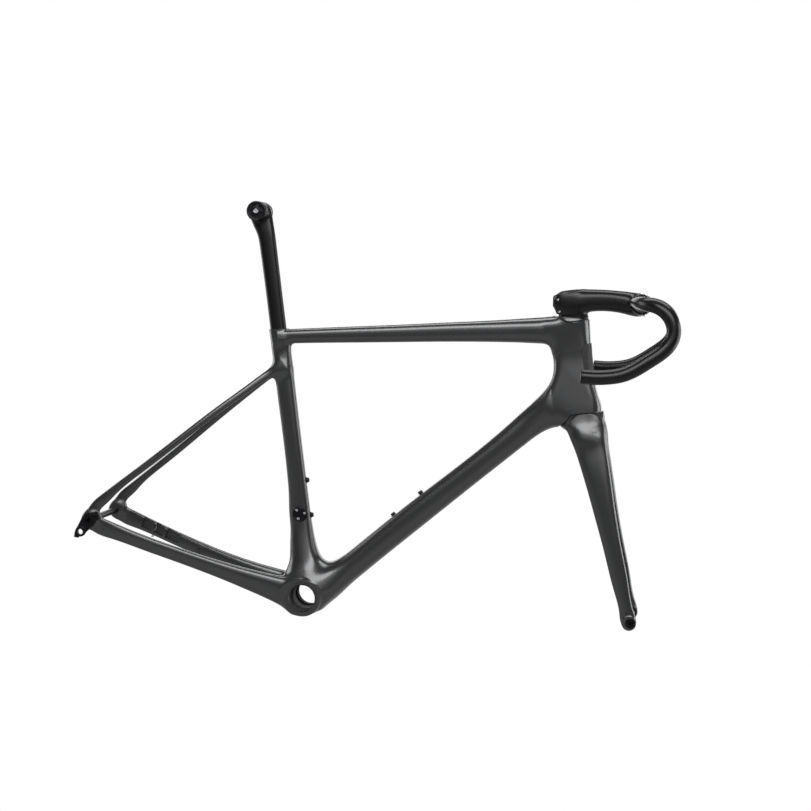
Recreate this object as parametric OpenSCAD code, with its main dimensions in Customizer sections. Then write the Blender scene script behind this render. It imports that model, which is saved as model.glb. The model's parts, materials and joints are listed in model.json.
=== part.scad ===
// Carbon road-race frameset: frame, fork, cockpit, seatpost and thru-axles.
// +X forward, +Y to the rider's left, +Z up, axles level, origin at the bottom bracket centre.

/* [Geometry] */
// Height of both wheel axles above the bottom bracket centre
axle_z = 73; // [71:0.5:75]
// Rear axle behind the bottom bracket centre
rear_axle_x = 403; // [401:0.5:405]
// Front axle in front of the bottom bracket centre
front_axle_x = 584; // [582:0.5:586]
// Steering axis angle from horizontal
head_angle = 73.5; // [73.3:0.1:73.7]
// Seat tube angle from horizontal
seat_angle = 73.6; // [73.4:0.1:73.8]

/* [Bottom bracket] */
// Width of the bottom bracket shell
bb_width = 86; // [85:0.5:87]
// Outer radius of the shell
bb_outer_r = 34; // [33:0.5:35]
// Inner radius of the threaded sleeve
bb_bore_r = 23.5; // [23:0.25:24]

/* [Wheel spacing] */
// Distance between the rear dropouts' inner faces
rear_spacing = 142; // [142:0.5:143]
// Distance between the fork tips' inner faces
front_spacing = 100; // [100:0.5:101]
// Thru-axle radius
axle_r = 6; // [5.9:0.05:6]

/* [Headset] */
// Outer radius of both headset bearings
bearing_r = 26; // [25.8:0.1:26]
// Height of each headset bearing
bearing_h = 7; // [6.5:0.5:7]
// Outer radius of the steerer tube
steerer_r = 14.3; // [14:0.1:14.3]

/* [Seatpost] */
// Front-to-back depth of the seatpost
post_depth = 30.6; // [30:0.2:31]
// Side-to-side width of the seatpost
post_width = 20; // [19:0.5:20]
// Length of seatpost inside the seat tube
post_insert = 115; // [110:1:118]

/* [Cockpit] */
// Width of the bar between the drop ends' centres
bar_width = 434; // [420:2:440]
// Diameter of the round part of the bar
bar_dia = 24; // [23.8:0.1:24]

/* [Hidden] */

graphite = [0.16, 0.165, 0.17];
carbon_black = [0.03, 0.03, 0.033];
anodised_black = [0.05, 0.05, 0.055];
steel = [0.62, 0.63, 0.65];
brass_grey = [0.45, 0.45, 0.46];

sides = 20;             // corners round each lofted section
wall = 1.8;             // wall of the hollow carbon sections
seam = 0.5;             // half gap at the seams between frame and fork
fit = 0.06;             // radial clearance of every turning or sliding fit
skin_gap = 0.3;         // clearance of the aero seatpost in its tube

crown_seam = [440, 417];    // x and z where the steering axis meets the lower seam
head_length = 161.5;        // from the lower seam to the upper seam along the axis
seat_axis_x = 8.3;          // where the seat tube's axis passes the bottom bracket's height
collar_u = 491;             // collar height along the seat tube's axis
collar_face = [-130, 0, 469.6];     // a point on the collar's upper face
clamp_pos = [-9, 704];      // rail clamp centre: behind the axis, and along it
clamp_r = 18;               // outer radius of the rail clamp's round parts
rail_y = 22;                // each saddle rail's distance from the middle
rail_r = 3.5;
rail_up = 10.5;             // rail above the clamp's bolt
bar_clamp = [506, 622];     // x and z of the handlebar's centre at the stem
guard_half = 33;            // half height of the guard on the head tube's nose
guard_middle = 82;          // its middle, measured like the head tube stations

// ---------- places ----------
module steering_frame() {
    translate([crown_seam.x, 0, crown_seam.y]) rotate([0, head_angle - 90, 0]) children();
}
module seat_frame() {
    translate([seat_axis_x, 0, 0]) rotate([0, seat_angle - 90, 0]) children();
}
// cylinder along +Y, centred on x and z, from y0 to y1
module cross_cyl(x, z, y0, y1, r, fn = 48) {
    translate([x, y1, z]) rotate([90, 0, 0]) cylinder(h = y1 - y0, r = r, $fn = fn);
}
// each child outline becomes a plate in the XZ plane, from y0 to y0 + t
module plate(y0, t) {
    for (i = [0:$children - 1])
        translate([0, y0 + t, 0]) rotate([90, 0, 0]) linear_extrude(t) children(i);
}
module left_and_right() {
    children();
    mirror([0, 1, 0]) children();
}

// ---------- lofted sections ----------
function signed_pow(v, e) = sign(v) * pow(abs(v), e);
function unit(v) = v / norm(v);
// a rounded section about point c: u and v are unit vectors, a and b half sizes, p its squareness
function section(c, u, v, a, b, p, n = sides) = [
    for (i = [0:n - 1])
        let (t = 360 * (i + 0.5) / n)
        c + u * a * signed_pow(cos(t), 2 / p) + v * b * signed_pow(sin(t), 2 / p)
];
// smooth stations between those given, k steps to each
function smooth(s, k) = [
    for (i = [0:len(s) - 2])
        let (
            a = s[max(i - 1, 0)],
            b = s[i],
            c = s[i + 1],
            d = s[min(i + 2, len(s) - 1)]
        )
        each [
            for (j = [0:(i == len(s) - 2 ? k : k - 1)])
                let (t = j / k)
                0.5 * (2 * b + (c - a) * t + (2 * a - 5 * b + 4 * c - d) * t * t
                    + (3 * b - a - 3 * c + d) * t * t * t)
        ]
];
module skin(rings) {
    n = len(rings[0]);
    last = len(rings) - 1;
    polyhedron(
        points = [for (r = rings) each r],
        faces = [
            [for (i = [0:n - 1]) i],
            [for (i = [n - 1:-1:0]) last * n + i],
            for (k = [0:last - 1]) for (i = [0:n - 1])
                let (j = (i + 1) % n)
                each [
                    [k * n + i, (k + 1) * n + j, k * n + j],
                    [k * n + i, (k + 1) * n + i, (k + 1) * n + j]
                ]
        ]
    );
}
function place(s) = [s[0], s[1], s[2]];
function along(s, i) = unit(place(s[min(i + 1, len(s) - 1)]) - place(s[max(i - 1, 0)]));
// a tube through stations [x, y, z, depth, width, squareness], depth measured in the XZ plane
module loft(stations, inset = 0) {
    skin([
        for (i = [0:len(stations) - 1])
            let (
                s = stations[i],
                t = along(stations, i),
                u = unit(cross([0, 1, 0], t)),
                v = cross(t, u)
            )
            section(place(s), u, v, s[3] / 2 - inset, s[4] / 2 - inset, s[5])
    ]);
}
// the stations with both ends pushed outwards, so that a hollow runs out of the tube's ends
function moved(s, step) = [s[0] + step.x, s[1] + step.y, s[2] + step.z, s[3], s[4], s[5]];
function run_out(s) = [
    for (i = [0:len(s) - 1])
        i == 0 ? moved(s[0], -2 * along(s, 0)) : i == len(s) - 1 ? moved(s[i], 2 * along(s, i)) : s[i]
];
module hollow_loft(stations, thickness = wall) {
    difference() {
        loft(stations);
        loft(run_out(stations), thickness);
    }
}
function mirrored(stations) = [for (s = stations) [s[0], -s[1], s[2], s[3], s[4], s[5]]];

// ---------- main tubes ----------
// head tube stations: height on the steering axis, front, rear, width, squareness
head_stations = [
    [0, 28.2, -36, 60, 2.3],
    [20, 27.3, -42, 55, 2.4],
    [50, 25, -43, 49, 2.5],
    [82, 24.6, -43.5, 48, 2.5],
    [115, 25.2, -43, 49, 2.5],
    [142, 27, -37, 55, 2.4],
    [head_length, 28.2, -30, 58.5, 2.3]
];
module head_solid() {
    steering_frame() skin([
        for (s = head_stations)
            section([(s[1] + s[2]) / 2, 0, s[0]], [1, 0, 0], [0, 1, 0],
                (s[1] - s[2]) / 2, s[3] / 2, s[4])
    ]);
}
// everything under the lower seam: a disc, then a cone that falls away behind
crown_disc_r = 38;
module under_crown_seam(gap) {
    steering_frame() rotate_extrude($fn = 64)
        polygon([[0, gap], [crown_disc_r, gap], [62, gap - 25], [62, -75], [0, -75]]);
}
module over_crown_seam(gap) {
    steering_frame() rotate_extrude($fn = 64)
        polygon([[0, -gap], [crown_disc_r - gap, -gap], [62 - gap, -25 - gap], [62, 30], [0, 30]]);
}
// everything over the upper seam: a disc, then a steep cone that rises behind
cover_disc_r = 28.6;
module over_cover_seam(gap) {
    steering_frame() translate([0, 0, head_length]) rotate_extrude($fn = 64)
        polygon([[0, -gap], [cover_disc_r, -gap], [cover_disc_r + 8, 14 - gap],
            [cover_disc_r + 8, 60], [0, 60]]);
}
module under_cover_seam(gap) {
    steering_frame() translate([0, 0, head_length]) rotate_extrude($fn = 64)
        difference() {
            translate([0, -30]) square([60, 60]);
            polygon([[-1, gap], [cover_disc_r - gap, gap], [cover_disc_r + 8 - gap, 14 + gap],
                [cover_disc_r + 8 - gap, 40], [-1, 40]]);
        }
}
module head_tube() {
    color(graphite) difference() {
        head_solid();
        steering_frame() {
            translate([0, 0, -1]) cylinder(h = head_length + 2, r = 21, $fn = 64);
            translate([0, 0, -1]) cylinder(h = bearing_h + 2, r = bearing_r, $fn = 64);
            translate([0, 0, head_length - bearing_h - 1])
                cylinder(h = bearing_h + 2, r = bearing_r, $fn = 64);
        }
        under_crown_seam(seam);
        over_cover_seam(seam);
        hose_passage();
    }
}

// top tube: x, y, z, depth, width, squareness
top_stations = smooth([
    [-125, 0, 457.5, 26.5, 27, 2.6],
    [-60, 0, 470.2, 27.5, 28, 2.7],
    [93, 0, 500, 31.6, 31, 2.8],
    [182, 0, 517.5, 34.7, 34, 2.8],
    [271, 0, 534.8, 39.7, 38, 2.7],
    [330, 0, 546.5, 46, 43, 2.6],
    [375, 0, 551, 58, 48, 2.5]
], 2);
module top_tube() {
    color(graphite) difference() {
        hollow_loft(top_stations);
        head_solid();
        seat_solid();
        over_cover_seam(seam);
        wedge_pocket();
    }
}

// down tube
down_stations = smooth([
    [14, 0, 3, 60, 74, 2.6],
    [60, 0, 53, 51, 66, 2.6],
    [105, 0, 104.5, 48.5, 57, 2.6],
    [162, 0, 169, 48, 51, 2.7],
    [245, 0, 263, 47.2, 47, 2.7],
    [328, 0, 358, 47.5, 47, 2.7],
    [366, 0, 401, 56, 48, 2.6],
    [398, 0, 434, 76, 51, 2.5],
    [416, 0, 455, 84, 50, 2.4]
], 2);
// the hoses pass from the head tube into the down tube here
module hose_passage() {
    steering_frame() translate([-34, 0, 50]) rotate([0, 90, 0])
        cylinder(h = 20, r = 9, $fn = 32, center = true);
}
module down_tube() {
    color(graphite) difference() {
        hollow_loft(down_stations);
        head_solid();
        seat_solid();
        bb_solid();
        under_crown_seam(seam);
        bottle_holes(down_bottle);
    }
}

// seat tube: one straight aero section, flared at its foot
module aero_outline(depth, width, inset = 0) {
    polygon([for (p = section([0, 0], [1, 0], [0, 1], depth / 2 - inset, width / 2 - inset, 2.5)) p]);
}
seat_depth = post_depth + 2 * skin_gap + 3.8;
seat_width = post_width + 2 * skin_gap + 4.4;
// seat tube stations: height on its axis, forward offset, depth, width
seat_stations = concat(smooth([
    [20, -2, 62, 68],
    [50, 0, 54, 58],
    [80, 1, 45, 46],
    [112, 0.4, 38.5, 34],
    [150, 0, seat_depth, seat_width]
], 2), [[collar_u + 14, 0, seat_depth, seat_width]]);
module seat_solid() {
    seat_frame() skin([
        for (s = seat_stations)
            section([s[1], 0, s[0]], [1, 0, 0], [0, 1, 0], s[2] / 2, s[3] / 2, 2.5)
    ]);
}
module seat_tube() {
    color(graphite) difference() {
        seat_solid();
        seat_frame() {
            translate([0, 0, 160]) linear_extrude(400)
                aero_outline(post_depth + 2 * skin_gap, post_width + 2 * skin_gap);
            translate([0, 0, 60]) cylinder(h = 110, r = 9, $fn = 32);
        }
        // the collar is cut flush with the top tube's upper face
        collar_cut();
        bb_solid();
        bottle_holes(seat_bottle);
        cover_recess();
        wedge_pocket();
    }
}
module collar_cut() {
    translate(collar_face) rotate([0, -11.5, 0]) translate([-60, -40, 0]) cube([120, 80, 60]);
}

// bottom bracket
module bb_solid() {
    cross_cyl(0, 0, -bb_width / 2, bb_width / 2, bb_outer_r, 72);
}
sleeve_r = bb_bore_r + 2;
module bb_shell() {
    color(graphite) difference() {
        bb_solid();
        cross_cyl(0, 0, -bb_width, bb_width, sleeve_r, 72);
    }
}
module bb_sleeve() {
    color(brass_grey) difference() {
        cross_cyl(0, 0, -bb_width / 2, bb_width / 2, sleeve_r, 72);
        cross_cyl(0, 0, -bb_width, bb_width, bb_bore_r, 72);
    }
}

// ---------- rear triangle, right-hand side (negative y) ----------
chain_stations = smooth([
    [-10, -30, -1, 50, 22, 2.6],
    [-63, -31, 3.5, 45, 21, 2.6],
    [-118, -35, 12.8, 36.5, 20, 2.7],
    [-175, -43, 24.5, 30, 17, 2.8],
    [-232, -53, 36.6, 26.6, 15, 2.8],
    [-288, -63, 50, 26.4, 14, 2.8],
    [-344, -71.5, 63, 29, 11, 2.8],
    [-372, -75, 68.5, 33, 7.6, 2.8]
], 2);
seat_stay_stations = smooth([
    [-112, -5.5, 402, 17, 11, 2.4],
    [-132, -9.5, 387, 15, 11, 2.4],
    [-157.6, -19, 361.3, 13, 11, 2.4],
    [-202.5, -35, 314.4, 12.6, 10.5, 2.4],
    [-262.7, -52, 248.8, 12.6, 10, 2.4],
    [-324.4, -64, 181.5, 13, 10, 2.4],
    [-368, -72, 133, 16, 9, 2.5],
    [-384, -75, 113, 20, 7.6, 2.5]
], 2);
inner_face = rear_spacing / 2;
drop_t = 8;
module dropout_solid(side) {
    plate(side < 0 ? -inner_face - drop_t : inner_face, drop_t) {
        translate([-rear_axle_x, axle_z]) circle(r = 13, $fn = 48);
        polygon([
            [-rear_axle_x - 12, axle_z + 4], [-rear_axle_x - 6, axle_z + 26], [-398, 113],
            [-386, 120], [-372, 117], [-374, 104], [-378, 94], [-372, 87], [-355, 83],
            [-352, 52], [-380, 55], [-rear_axle_x, axle_z - 13]
        ]);
    }
}
module axle_bore(x, y0, y1) {
    cross_cyl(x, axle_z, y0, y1, axle_r + fit, 48);
}
module dropout_right() {
    color(graphite) difference() {
        dropout_solid(-1);
        axle_bore(-rear_axle_x, -90, 0);
        cross_cyl(hanger_bolt_pos.x, hanger_bolt_pos.y, -90, 0, 2.5, 32);
    }
}
module dropout_left() {
    color(graphite) difference() {
        dropout_solid(1);
        axle_bore(-rear_axle_x, 0, 90);
    }
}
module chainstay(side) {
    s = side < 0 ? chain_stations : mirrored(chain_stations);
    color(graphite) difference() {
        hollow_loft(s, 1.6);
        bb_solid();
        seat_solid();
        loft(down_stations);
        dropout_solid(side);
        if (side > 0) {
            brake_holes();
            grommet_hole();
        }
    }
}
module seatstay(side) {
    s = side < 0 ? seat_stay_stations : mirrored(seat_stay_stations);
    color(graphite) difference() {
        loft(s);
        seat_solid();
        dropout_solid(side);
        translate([-200, side < 0 ? 0 : -40, 300]) cube([200, 40, 200]);
    }
}

// flat-mount brake holes through the left chainstay, 34 apart
brake_mid = [-303, 54];
brake_tilt = 13.5;
module brake_holes(r = 3.1) {
    for (k = [-17, 17])
        translate([brake_mid.x, 65.2 - k * 0.165, brake_mid.y]) rotate([0, brake_tilt, 0])
            translate([k, 0, -40]) cylinder(h = 80, r = r, $fn = 32);
}
module brake_mount_inserts() {
    color(steel) difference() {
        intersection() {
            brake_holes(3.1);
            translate([-400, 50, 36]) cube([200, 30, 22]);
        }
        brake_holes(2.1);
    }
}
grommet_pos = [-178, 34, 26];
module grommet_hole(r = 6) {
    translate(grommet_pos) rotate([90, 0, 0]) cylinder(h = 12, r = r, $fn = 40, center = true);
}
module hose_grommet() {
    color(carbon_black) difference() {
        union() {
            translate([0, -1.2, 0]) intersection() {
                grommet_hole(6);
                translate(grommet_pos + [-20, -1.5, -20]) cube([40, 6, 40]);
            }
            translate(grommet_pos + [0, -1.5, 0]) rotate([90, 0, 0])
                cylinder(h = 2.4, r1 = 6, r2 = 7.4, $fn = 40);
        }
        grommet_hole(2.6);
    }
}

// derailleur hanger and its bolt
hanger_t = 6;
hanger_y = -inner_face - drop_t - hanger_t;
hanger_hole = [-415, 49.5];
hanger_bolt_pos = [-391, 84];
module derailleur_hanger() {
    color(anodised_black) difference() {
        plate(hanger_y, hanger_t) {
            translate([-rear_axle_x, axle_z]) circle(r = 12.5, $fn = 48);
            translate(hanger_hole) circle(r = 9, $fn = 48);
            translate(hanger_bolt_pos) circle(r = 6.5, $fn = 40);
            polygon([[-rear_axle_x - 12, axle_z + 3], [-rear_axle_x - 21, hanger_hole.y],
                [hanger_hole.x + 9, hanger_hole.y], [-rear_axle_x + 10, axle_z - 6]]);
            polygon([[-rear_axle_x - 8, axle_z + 9], [hanger_bolt_pos.x - 4, hanger_bolt_pos.y + 5],
                [hanger_bolt_pos.x + 5, hanger_bolt_pos.y - 4], [-rear_axle_x + 8, axle_z - 9]]);
            translate([hanger_hole.x - 9.5, hanger_hole.y - 11]) square([7, 9]);
        }
        axle_bore(-rear_axle_x, -100, 0);
        cross_cyl(hanger_hole.x, hanger_hole.y, -100, 0, 5, 48);
        cross_cyl(hanger_bolt_pos.x, hanger_bolt_pos.y, -100, 0, 2.5, 32);
    }
}
module hex_socket(x, z, y0, y1, flats) {
    cross_cyl(x, z, y0, y1, flats / 2 / cos(30), 6);
}
module hanger_bolt() {
    color(anodised_black) difference() {
        union() {
            cross_cyl(hanger_bolt_pos.x, hanger_bolt_pos.y, hanger_y - 2.6, hanger_y, 4.2, 40);
            cross_cyl(hanger_bolt_pos.x, hanger_bolt_pos.y, hanger_y, -inner_face, 2.5, 32);
        }
        hex_socket(hanger_bolt_pos.x, hanger_bolt_pos.y, hanger_y - 5, hanger_y - 0.8, 3);
    }
}

// round cover over the front derailleur mount, on the seat tube's right face
cover_u = 151.5;
cover_r = 14;
module cover_place() {
    seat_frame() translate([0.6, 0, cover_u]) children();
}
module cover_recess() {
    cover_place() rotate([90, 0, 0]) translate([0, 0, seat_width / 2 - 1.6])
        cylinder(h = 20, r = cover_r + 0.1, $fn = 64);
}
module cover_screw_places() {
    for (a = [20, 140, 260]) translate([9 * cos(a), 0, 9 * sin(a)]) children();
}
module derailleur_mount_cover() {
    color(anodised_black) difference() {
        cover_place() rotate([90, 0, 0]) translate([0, 0, seat_width / 2 - 1.6])
            cylinder(h = 3, r = cover_r, $fn = 64);
        cover_place() cover_screw_places() rotate([90, 0, 0]) cylinder(h = 40, r = 1.6, $fn = 24);
    }
}
module cover_screws() {
    color(steel) cover_place() cover_screw_places() difference() {
        rotate([90, 0, 0]) translate([0, 0, seat_width / 2 - 1.6]) union() {
            cylinder(h = 3, r = 1.6, $fn = 24);
            translate([0, 0, 3]) cylinder(h = 1, r = 2.4, $fn = 32);
        }
        rotate([90, 0, 0]) translate([0, 0, seat_width / 2 + 1.6]) cylinder(h = 5, r = 1, $fn = 6);
    }
}

// bottle bosses: a point on each tube's face and the direction out of it
seat_bottle = [[-16, 145.5], [-33.9, 207.2]];
down_bottle = [[134.8, 173.2], [177.1, 221.2]];
function boss_out(pair) = pair == seat_bottle ? 90 - seat_angle : 138.6;
module at_bosses(pair) {
    for (p = pair) translate([p.x, 0, p.y]) rotate([0, 90 - boss_out(pair), 0]) children();
}
module bottle_holes(pair) {
    at_bosses(pair) translate([0, 0, -8]) cylinder(h = 20, r = 3.6, $fn = 32);
}
module bottle_rivnuts() {
    color(anodised_black) for (pair = [seat_bottle, down_bottle]) at_bosses(pair) difference() {
        union() {
            translate([0, 0, -7]) cylinder(h = 8, r = 3.6, $fn = 32);
            translate([0, 0, 1]) cylinder(h = 1.2, r = 5.4, $fn = 40);
        }
        translate([0, 0, -10]) cylinder(h = 20, r = 2.5, $fn = 32);
    }
}
module bottle_bolts() {
    color(anodised_black) for (pair = [seat_bottle, down_bottle]) at_bosses(pair) difference() {
        union() {
            translate([0, 0, -6]) cylinder(h = 8.2, r = 2.5, $fn = 32);
            translate([0, 0, 2.2]) cylinder(h = 2.8, r = 4.2, $fn = 40);
        }
        translate([0, 0, 3.2]) cylinder(h = 4, r = 2.3, $fn = 6);
    }
}

// the wedge that grips the seatpost from the front, dropped in through the top tube's upper face
wedge_span = [464, 482];    // along the seat tube's axis
wedge_front = post_depth / 2 + skin_gap;
wedge_t = 6;
wedge_half = 6.8;
wedge_bolt_r = 1.6;
module wedge_place() {
    seat_frame() translate([wedge_front, 0, 0]) children();
}
module wedge_pocket() {
    wedge_place() translate([-2, -wedge_half - 0.2, wedge_span[0] - 0.2])
        cube([wedge_t + 2.2, 2 * wedge_half + 0.4, 40]);
}
module seatpost_wedge() {
    color(anodised_black) wedge_place() difference() {
        translate([0.1, -wedge_half, wedge_span[0]])
            cube([wedge_t, 2 * wedge_half, wedge_span[1] - wedge_span[0]]);
        translate([wedge_t / 2, 0, wedge_span[0] - 1]) cylinder(h = 40, r = wedge_bolt_r, $fn = 24);
    }
}
module wedge_bolt() {
    color(steel) wedge_place() translate([wedge_t / 2, 0, wedge_span[0]]) difference() {
        union() {
            cylinder(h = wedge_span[1] - wedge_span[0], r = wedge_bolt_r, $fn = 24);
            translate([0, 0, wedge_span[1] - wedge_span[0]]) cylinder(h = 2.4, r = 2.4, $fn = 32);
        }
        translate([0, 0, wedge_span[1] - wedge_span[0] + 0.8]) cylinder(h = 4, r = 1.15, $fn = 6);
    }
}

// thin guard plate on the head tube's nose
module head_tube_guard() {
    color(carbon_black) difference() {
        steering_frame() translate([0, 0, guard_middle]) skin([
            for (h = [-guard_half, 0, guard_half])
                section([-9.4, 0, h], [1, 0, 0], [0, 1, 0], 34.9, 25.2, 2.5)
        ]);
        steering_frame() translate([-50, -40, 30]) cube([66, 80, 120]);
        head_solid();
    }
}

// ---------- headset ----------
race_r = 23.6;          // inside radius of both outer races
inner_race_r = 21.2;    // outside radius of both inner races
ball_r = 1.15;
ball_ring_r = (race_r + inner_race_r) / 2;
lower_z = seam;
upper_z = head_length - bearing_h - seam;
ball_count = 24;
module ring_at(z, h, outer, bore) {
    steering_frame() translate([0, 0, z]) difference() {
        cylinder(h = h, r = outer, $fn = 64);
        translate([0, 0, -1]) cylinder(h = h + 2, r = bore, $fn = 64);
    }
}
module upper_bearing_outer() {
    color(steel) ring_at(upper_z, bearing_h, bearing_r, race_r);
}
module lower_bearing_outer() {
    color(steel) ring_at(lower_z, bearing_h, bearing_r, race_r);
}
module balls(z) {
    color(steel) steering_frame() translate([0, 0, z])
        for (i = [0:ball_count - 1]) rotate([0, 0, 360 * i / ball_count]) translate([ball_ring_r, 0, 0])
            sphere(r = ball_r, $fn = 16);
}
module upper_bearing_balls() {
    balls(upper_z + bearing_h / 2);
}
module lower_bearing_balls() {
    balls(lower_z + bearing_h / 2);
}
race_bore = steerer_r + 5;
module lower_bearing_inner() {
    color(steel) ring_at(lower_z, bearing_h, inner_race_r, race_bore);
}
module upper_bearing_inner() {
    color(steel) ring_at(upper_z, bearing_h, inner_race_r, race_bore);
}
module crown_race() {
    color(anodised_black) ring_at(-seam, bearing_h + 2 * seam, race_bore, steerer_r);
}
module compression_ring() {
    color(anodised_black) ring_at(upper_z, bearing_h + 1, race_bore, steerer_r);
}

// ---------- fork ----------
steerer_top = 214;
module steerer() {
    color(carbon_black) ring_at(-24, steerer_top + 24, steerer_r, steerer_r - 2.6);
}
// crown stations: height on the axis, front, rear, width
crown_stations = [
    [1, 28.2, -40, 61],
    [-8, 29, -46, 64],
    [-17, 30, -50.5, 68],
    [-27, 31.5, -50, 74],
    [-34, 32.5, -44, 80]
];
module crown_solid() {
    steering_frame() skin([
        for (i = [len(crown_stations) - 1:-1:0])
            let (s = crown_stations[i])
            section([(s[1] + s[2]) / 2, 0, s[0]], [1, 0, 0], [0, 1, 0], (s[1] - s[2]) / 2, s[3] / 2, 2.4)
    ]);
}
leg_stations = smooth([
    [446, -27, 398, 60, 20, 2.4],
    [458, -33, 372, 63, 21, 2.4],
    [470.5, -38.5, 343, 53.5, 18.5, 2.5],
    [502, -46, 265, 39, 15, 2.5],
    [534.5, -51.5, 186, 31.5, 13, 2.5],
    [567, -55, 106, 26.5, 11, 2.5],
    [582, -55.5, 79, 25, 11, 2.5],
    [588.3, -55.5, 62, 18, 11, 2.5]
], 2);
tip_inner = front_spacing / 2;
module wheel_arch() {
    translate([front_axle_x, 0, axle_z]) rotate([90, 0, 0])
        cylinder(h = 46, r = 347, $fn = 120, center = true);
}
module fork_crown() {
    color(graphite) difference() {
        crown_solid();
        over_crown_seam(seam);
        wheel_arch();
        steering_frame() translate([0, 0, -80]) cylinder(h = 90, r = steerer_r, $fn = 64);
    }
}
module fork_leg(side) {
    s = side < 0 ? leg_stations : mirrored(leg_stations);
    color(graphite) difference() {
        loft(s);
        loft([for (i = [0:len(s) - 6]) run_out(s)[i]], 2.2);
        crown_solid();
        over_crown_seam(seam);
        translate([300, side < 0 ? -tip_inner : -20, 20]) cube([400, tip_inner + 20, 145]);
        cross_cyl(front_axle_x, axle_z, -90, 90, tip_r, 48);
        if (side > 0) fork_brake_holes(2.6);
    }
}
// aluminium inserts bonded in the fork tips: threaded on the right, plain on the left
tip_r = 9;
module fork_tip_inserts() {
    color(anodised_black) for (y = [-tip_inner - 10.5, tip_inner]) difference() {
        cross_cyl(front_axle_x, axle_z, y, y + 10.5, tip_r, 48);
        axle_bore(front_axle_x, -90, 90);
    }
}
module fork_brake_holes(r) {
    for (z = [120, 190])
        translate([front_axle_x - (z - axle_z) * 0.405, 53, z]) rotate([0, 67.8, 0])
            cylinder(h = 60, r = r, $fn = 32, center = true);
}

// ---------- cockpit ----------
// cover stations: height on the steering axis, front, rear, width
cover_stations = [
    [head_length - 1, 28.2, -31, 58.5],
    [head_length + 6, 27.6, -33.5, 55],
    [head_length + 15, 26, -35, 46]
];
module headset_cover() {
    color(graphite) difference() {
        steering_frame() skin([
            for (s = cover_stations)
                section([(s[1] + s[2]) / 2, 0, s[0]], [1, 0, 0], [0, 1, 0],
                    (s[1] - s[2]) / 2, s[3] / 2, 2.3)
        ]);
        under_cover_seam(seam);
        steering_frame() cylinder(h = 300, r = steerer_r, $fn = 64);
        steering_frame() translate([0, 0, head_length - 5]) cylinder(h = 6, r = race_bore, $fn = 64);
        above_cover(0);
    }
}
// everything over the plane that the cover's top and the spacer share, or over a height above it
cover_top = [392, 579];
module above_cover(height) {
    translate([cover_top.x, 0, cover_top.y]) rotate([0, -3.8, 0]) translate([-80, -60, height])
        cube([160, 120, 90]);
}
module stem_oval(grow) {
    translate([-2, 0]) scale([1, 0.82]) circle(r = 27 + grow, $fn = 64);
}
spacer_t = 3.5;
module stem_spacer() {
    color(carbon_black) difference() {
        intersection() {
            steering_frame() translate([0, 0, 155]) linear_extrude(60) stem_oval(0);
            above_cover(0);
        }
        above_cover(spacer_t);
        steering_frame() cylinder(h = 300, r = steerer_r, $fn = 64);
    }
}
// stem: x, y, z, depth, width, squareness
stem_stations = smooth([
    [354, 0, 605, 22, 34, 2.6],
    [362, 0, 604, 34, 42, 2.8],
    [385, 0, 607.5, 42, 47, 2.8],
    [412, 0, 613.5, 41, 45, 2.8],
    [440, 0, 617.6, 38.4, 42, 2.8],
    [470, 0, 620, 38.6, 45, 2.8],
    [492, 0, 621, 39, 52, 2.8],
    [503, 0, 621.5, 38, 56, 2.6]
], 2);
module clamp_bore() {
    cross_cyl(bar_clamp.x, bar_clamp.y, -60, 60, clamp_bore_r, 64);
}
module clamp_barrel() {
    cross_cyl(bar_clamp.x, bar_clamp.y, -clamp_half, clamp_half, clamp_bore_r + 4.1, 64);
}
clamp_bore_r = 15.9;
clamp_half = 28;
face_split = bar_clamp.x + 2;
module stem_body_solid() {
    loft(stem_stations);
    intersection() {
        steering_frame() translate([0, 0, 155]) linear_extrude(60) stem_oval(0.8);
        above_cover(spacer_t);
        translate([300, -60, 500]) cube([200, 120, 100]);
    }
}
module stem() {
    color(carbon_black) difference() {
        union() {
            stem_body_solid();
            clamp_barrel();
        }
        clamp_bore();
        translate([face_split - 0.3, -60, 560]) cube([60, 120, 120]);
        steering_frame() cylinder(h = 212, r = steerer_r, $fn = 64);
        steering_frame() translate([0, 0, 180]) cylinder(h = 100, r = steerer_r, $fn = 64);
        steering_frame() translate([0, 0, 207]) cylinder(h = 60, r = 16.5, $fn = 64);
        pinch_holes(2.6);
        faceplate_holes();
        // the split at the back that the pinch bolts close
        steering_frame() translate([-40, -0.8, 160]) cube([28, 1.6, 70]);
    }
}
module pinch_places() {
    steering_frame() for (h = [183, 204]) translate([-22, 0, h]) rotate([90, 0, 0]) children();
}
module pinch_holes(r) {
    pinch_places() cylinder(h = 70, r = r, $fn = 32, center = true);
}
module pinch_bolts() {
    color(steel) pinch_places() difference() {
        translate([0, 0, -15]) cylinder(h = 31, r = 2.6, $fn = 32);
        translate([0, 0, 13.5]) cylinder(h = 6, r = 1.7, $fn = 6);
    }
}
module stem_faceplate() {
    color(carbon_black) difference() {
        clamp_barrel();
        clamp_bore();
        translate([face_split + 0.3 - 80, -60, 560]) cube([80, 120, 120]);
        faceplate_holes();
    }
}
module faceplate_places() {
    for (y = [-21, 21]) for (z = [-17.75, 17.75])
        translate([bar_clamp.x, y, bar_clamp.y + z]) rotate([0, 90, 0]) children();
}
face_bolt_r = 1.75;
module faceplate_holes() {
    faceplate_places() translate([0, 0, -10]) cylinder(h = 30, r = face_bolt_r, $fn = 32);
}
module faceplate_bolts() {
    color(steel) faceplate_places() difference() {
        translate([0, 0, -10]) cylinder(h = 17, r = face_bolt_r, $fn = 32);
        translate([0, 0, 5.5]) cylinder(h = 6, r = 1.2, $fn = 6);
    }
}
module top_cap() {
    color(carbon_black) steering_frame() difference() {
        translate([0, 0, steerer_top]) cylinder(h = 4, r = 16.3, $fn = 64);
        translate([0, 0, steerer_top - 1]) cylinder(h = 9, r = 3.1, $fn = 32);
    }
}
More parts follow.
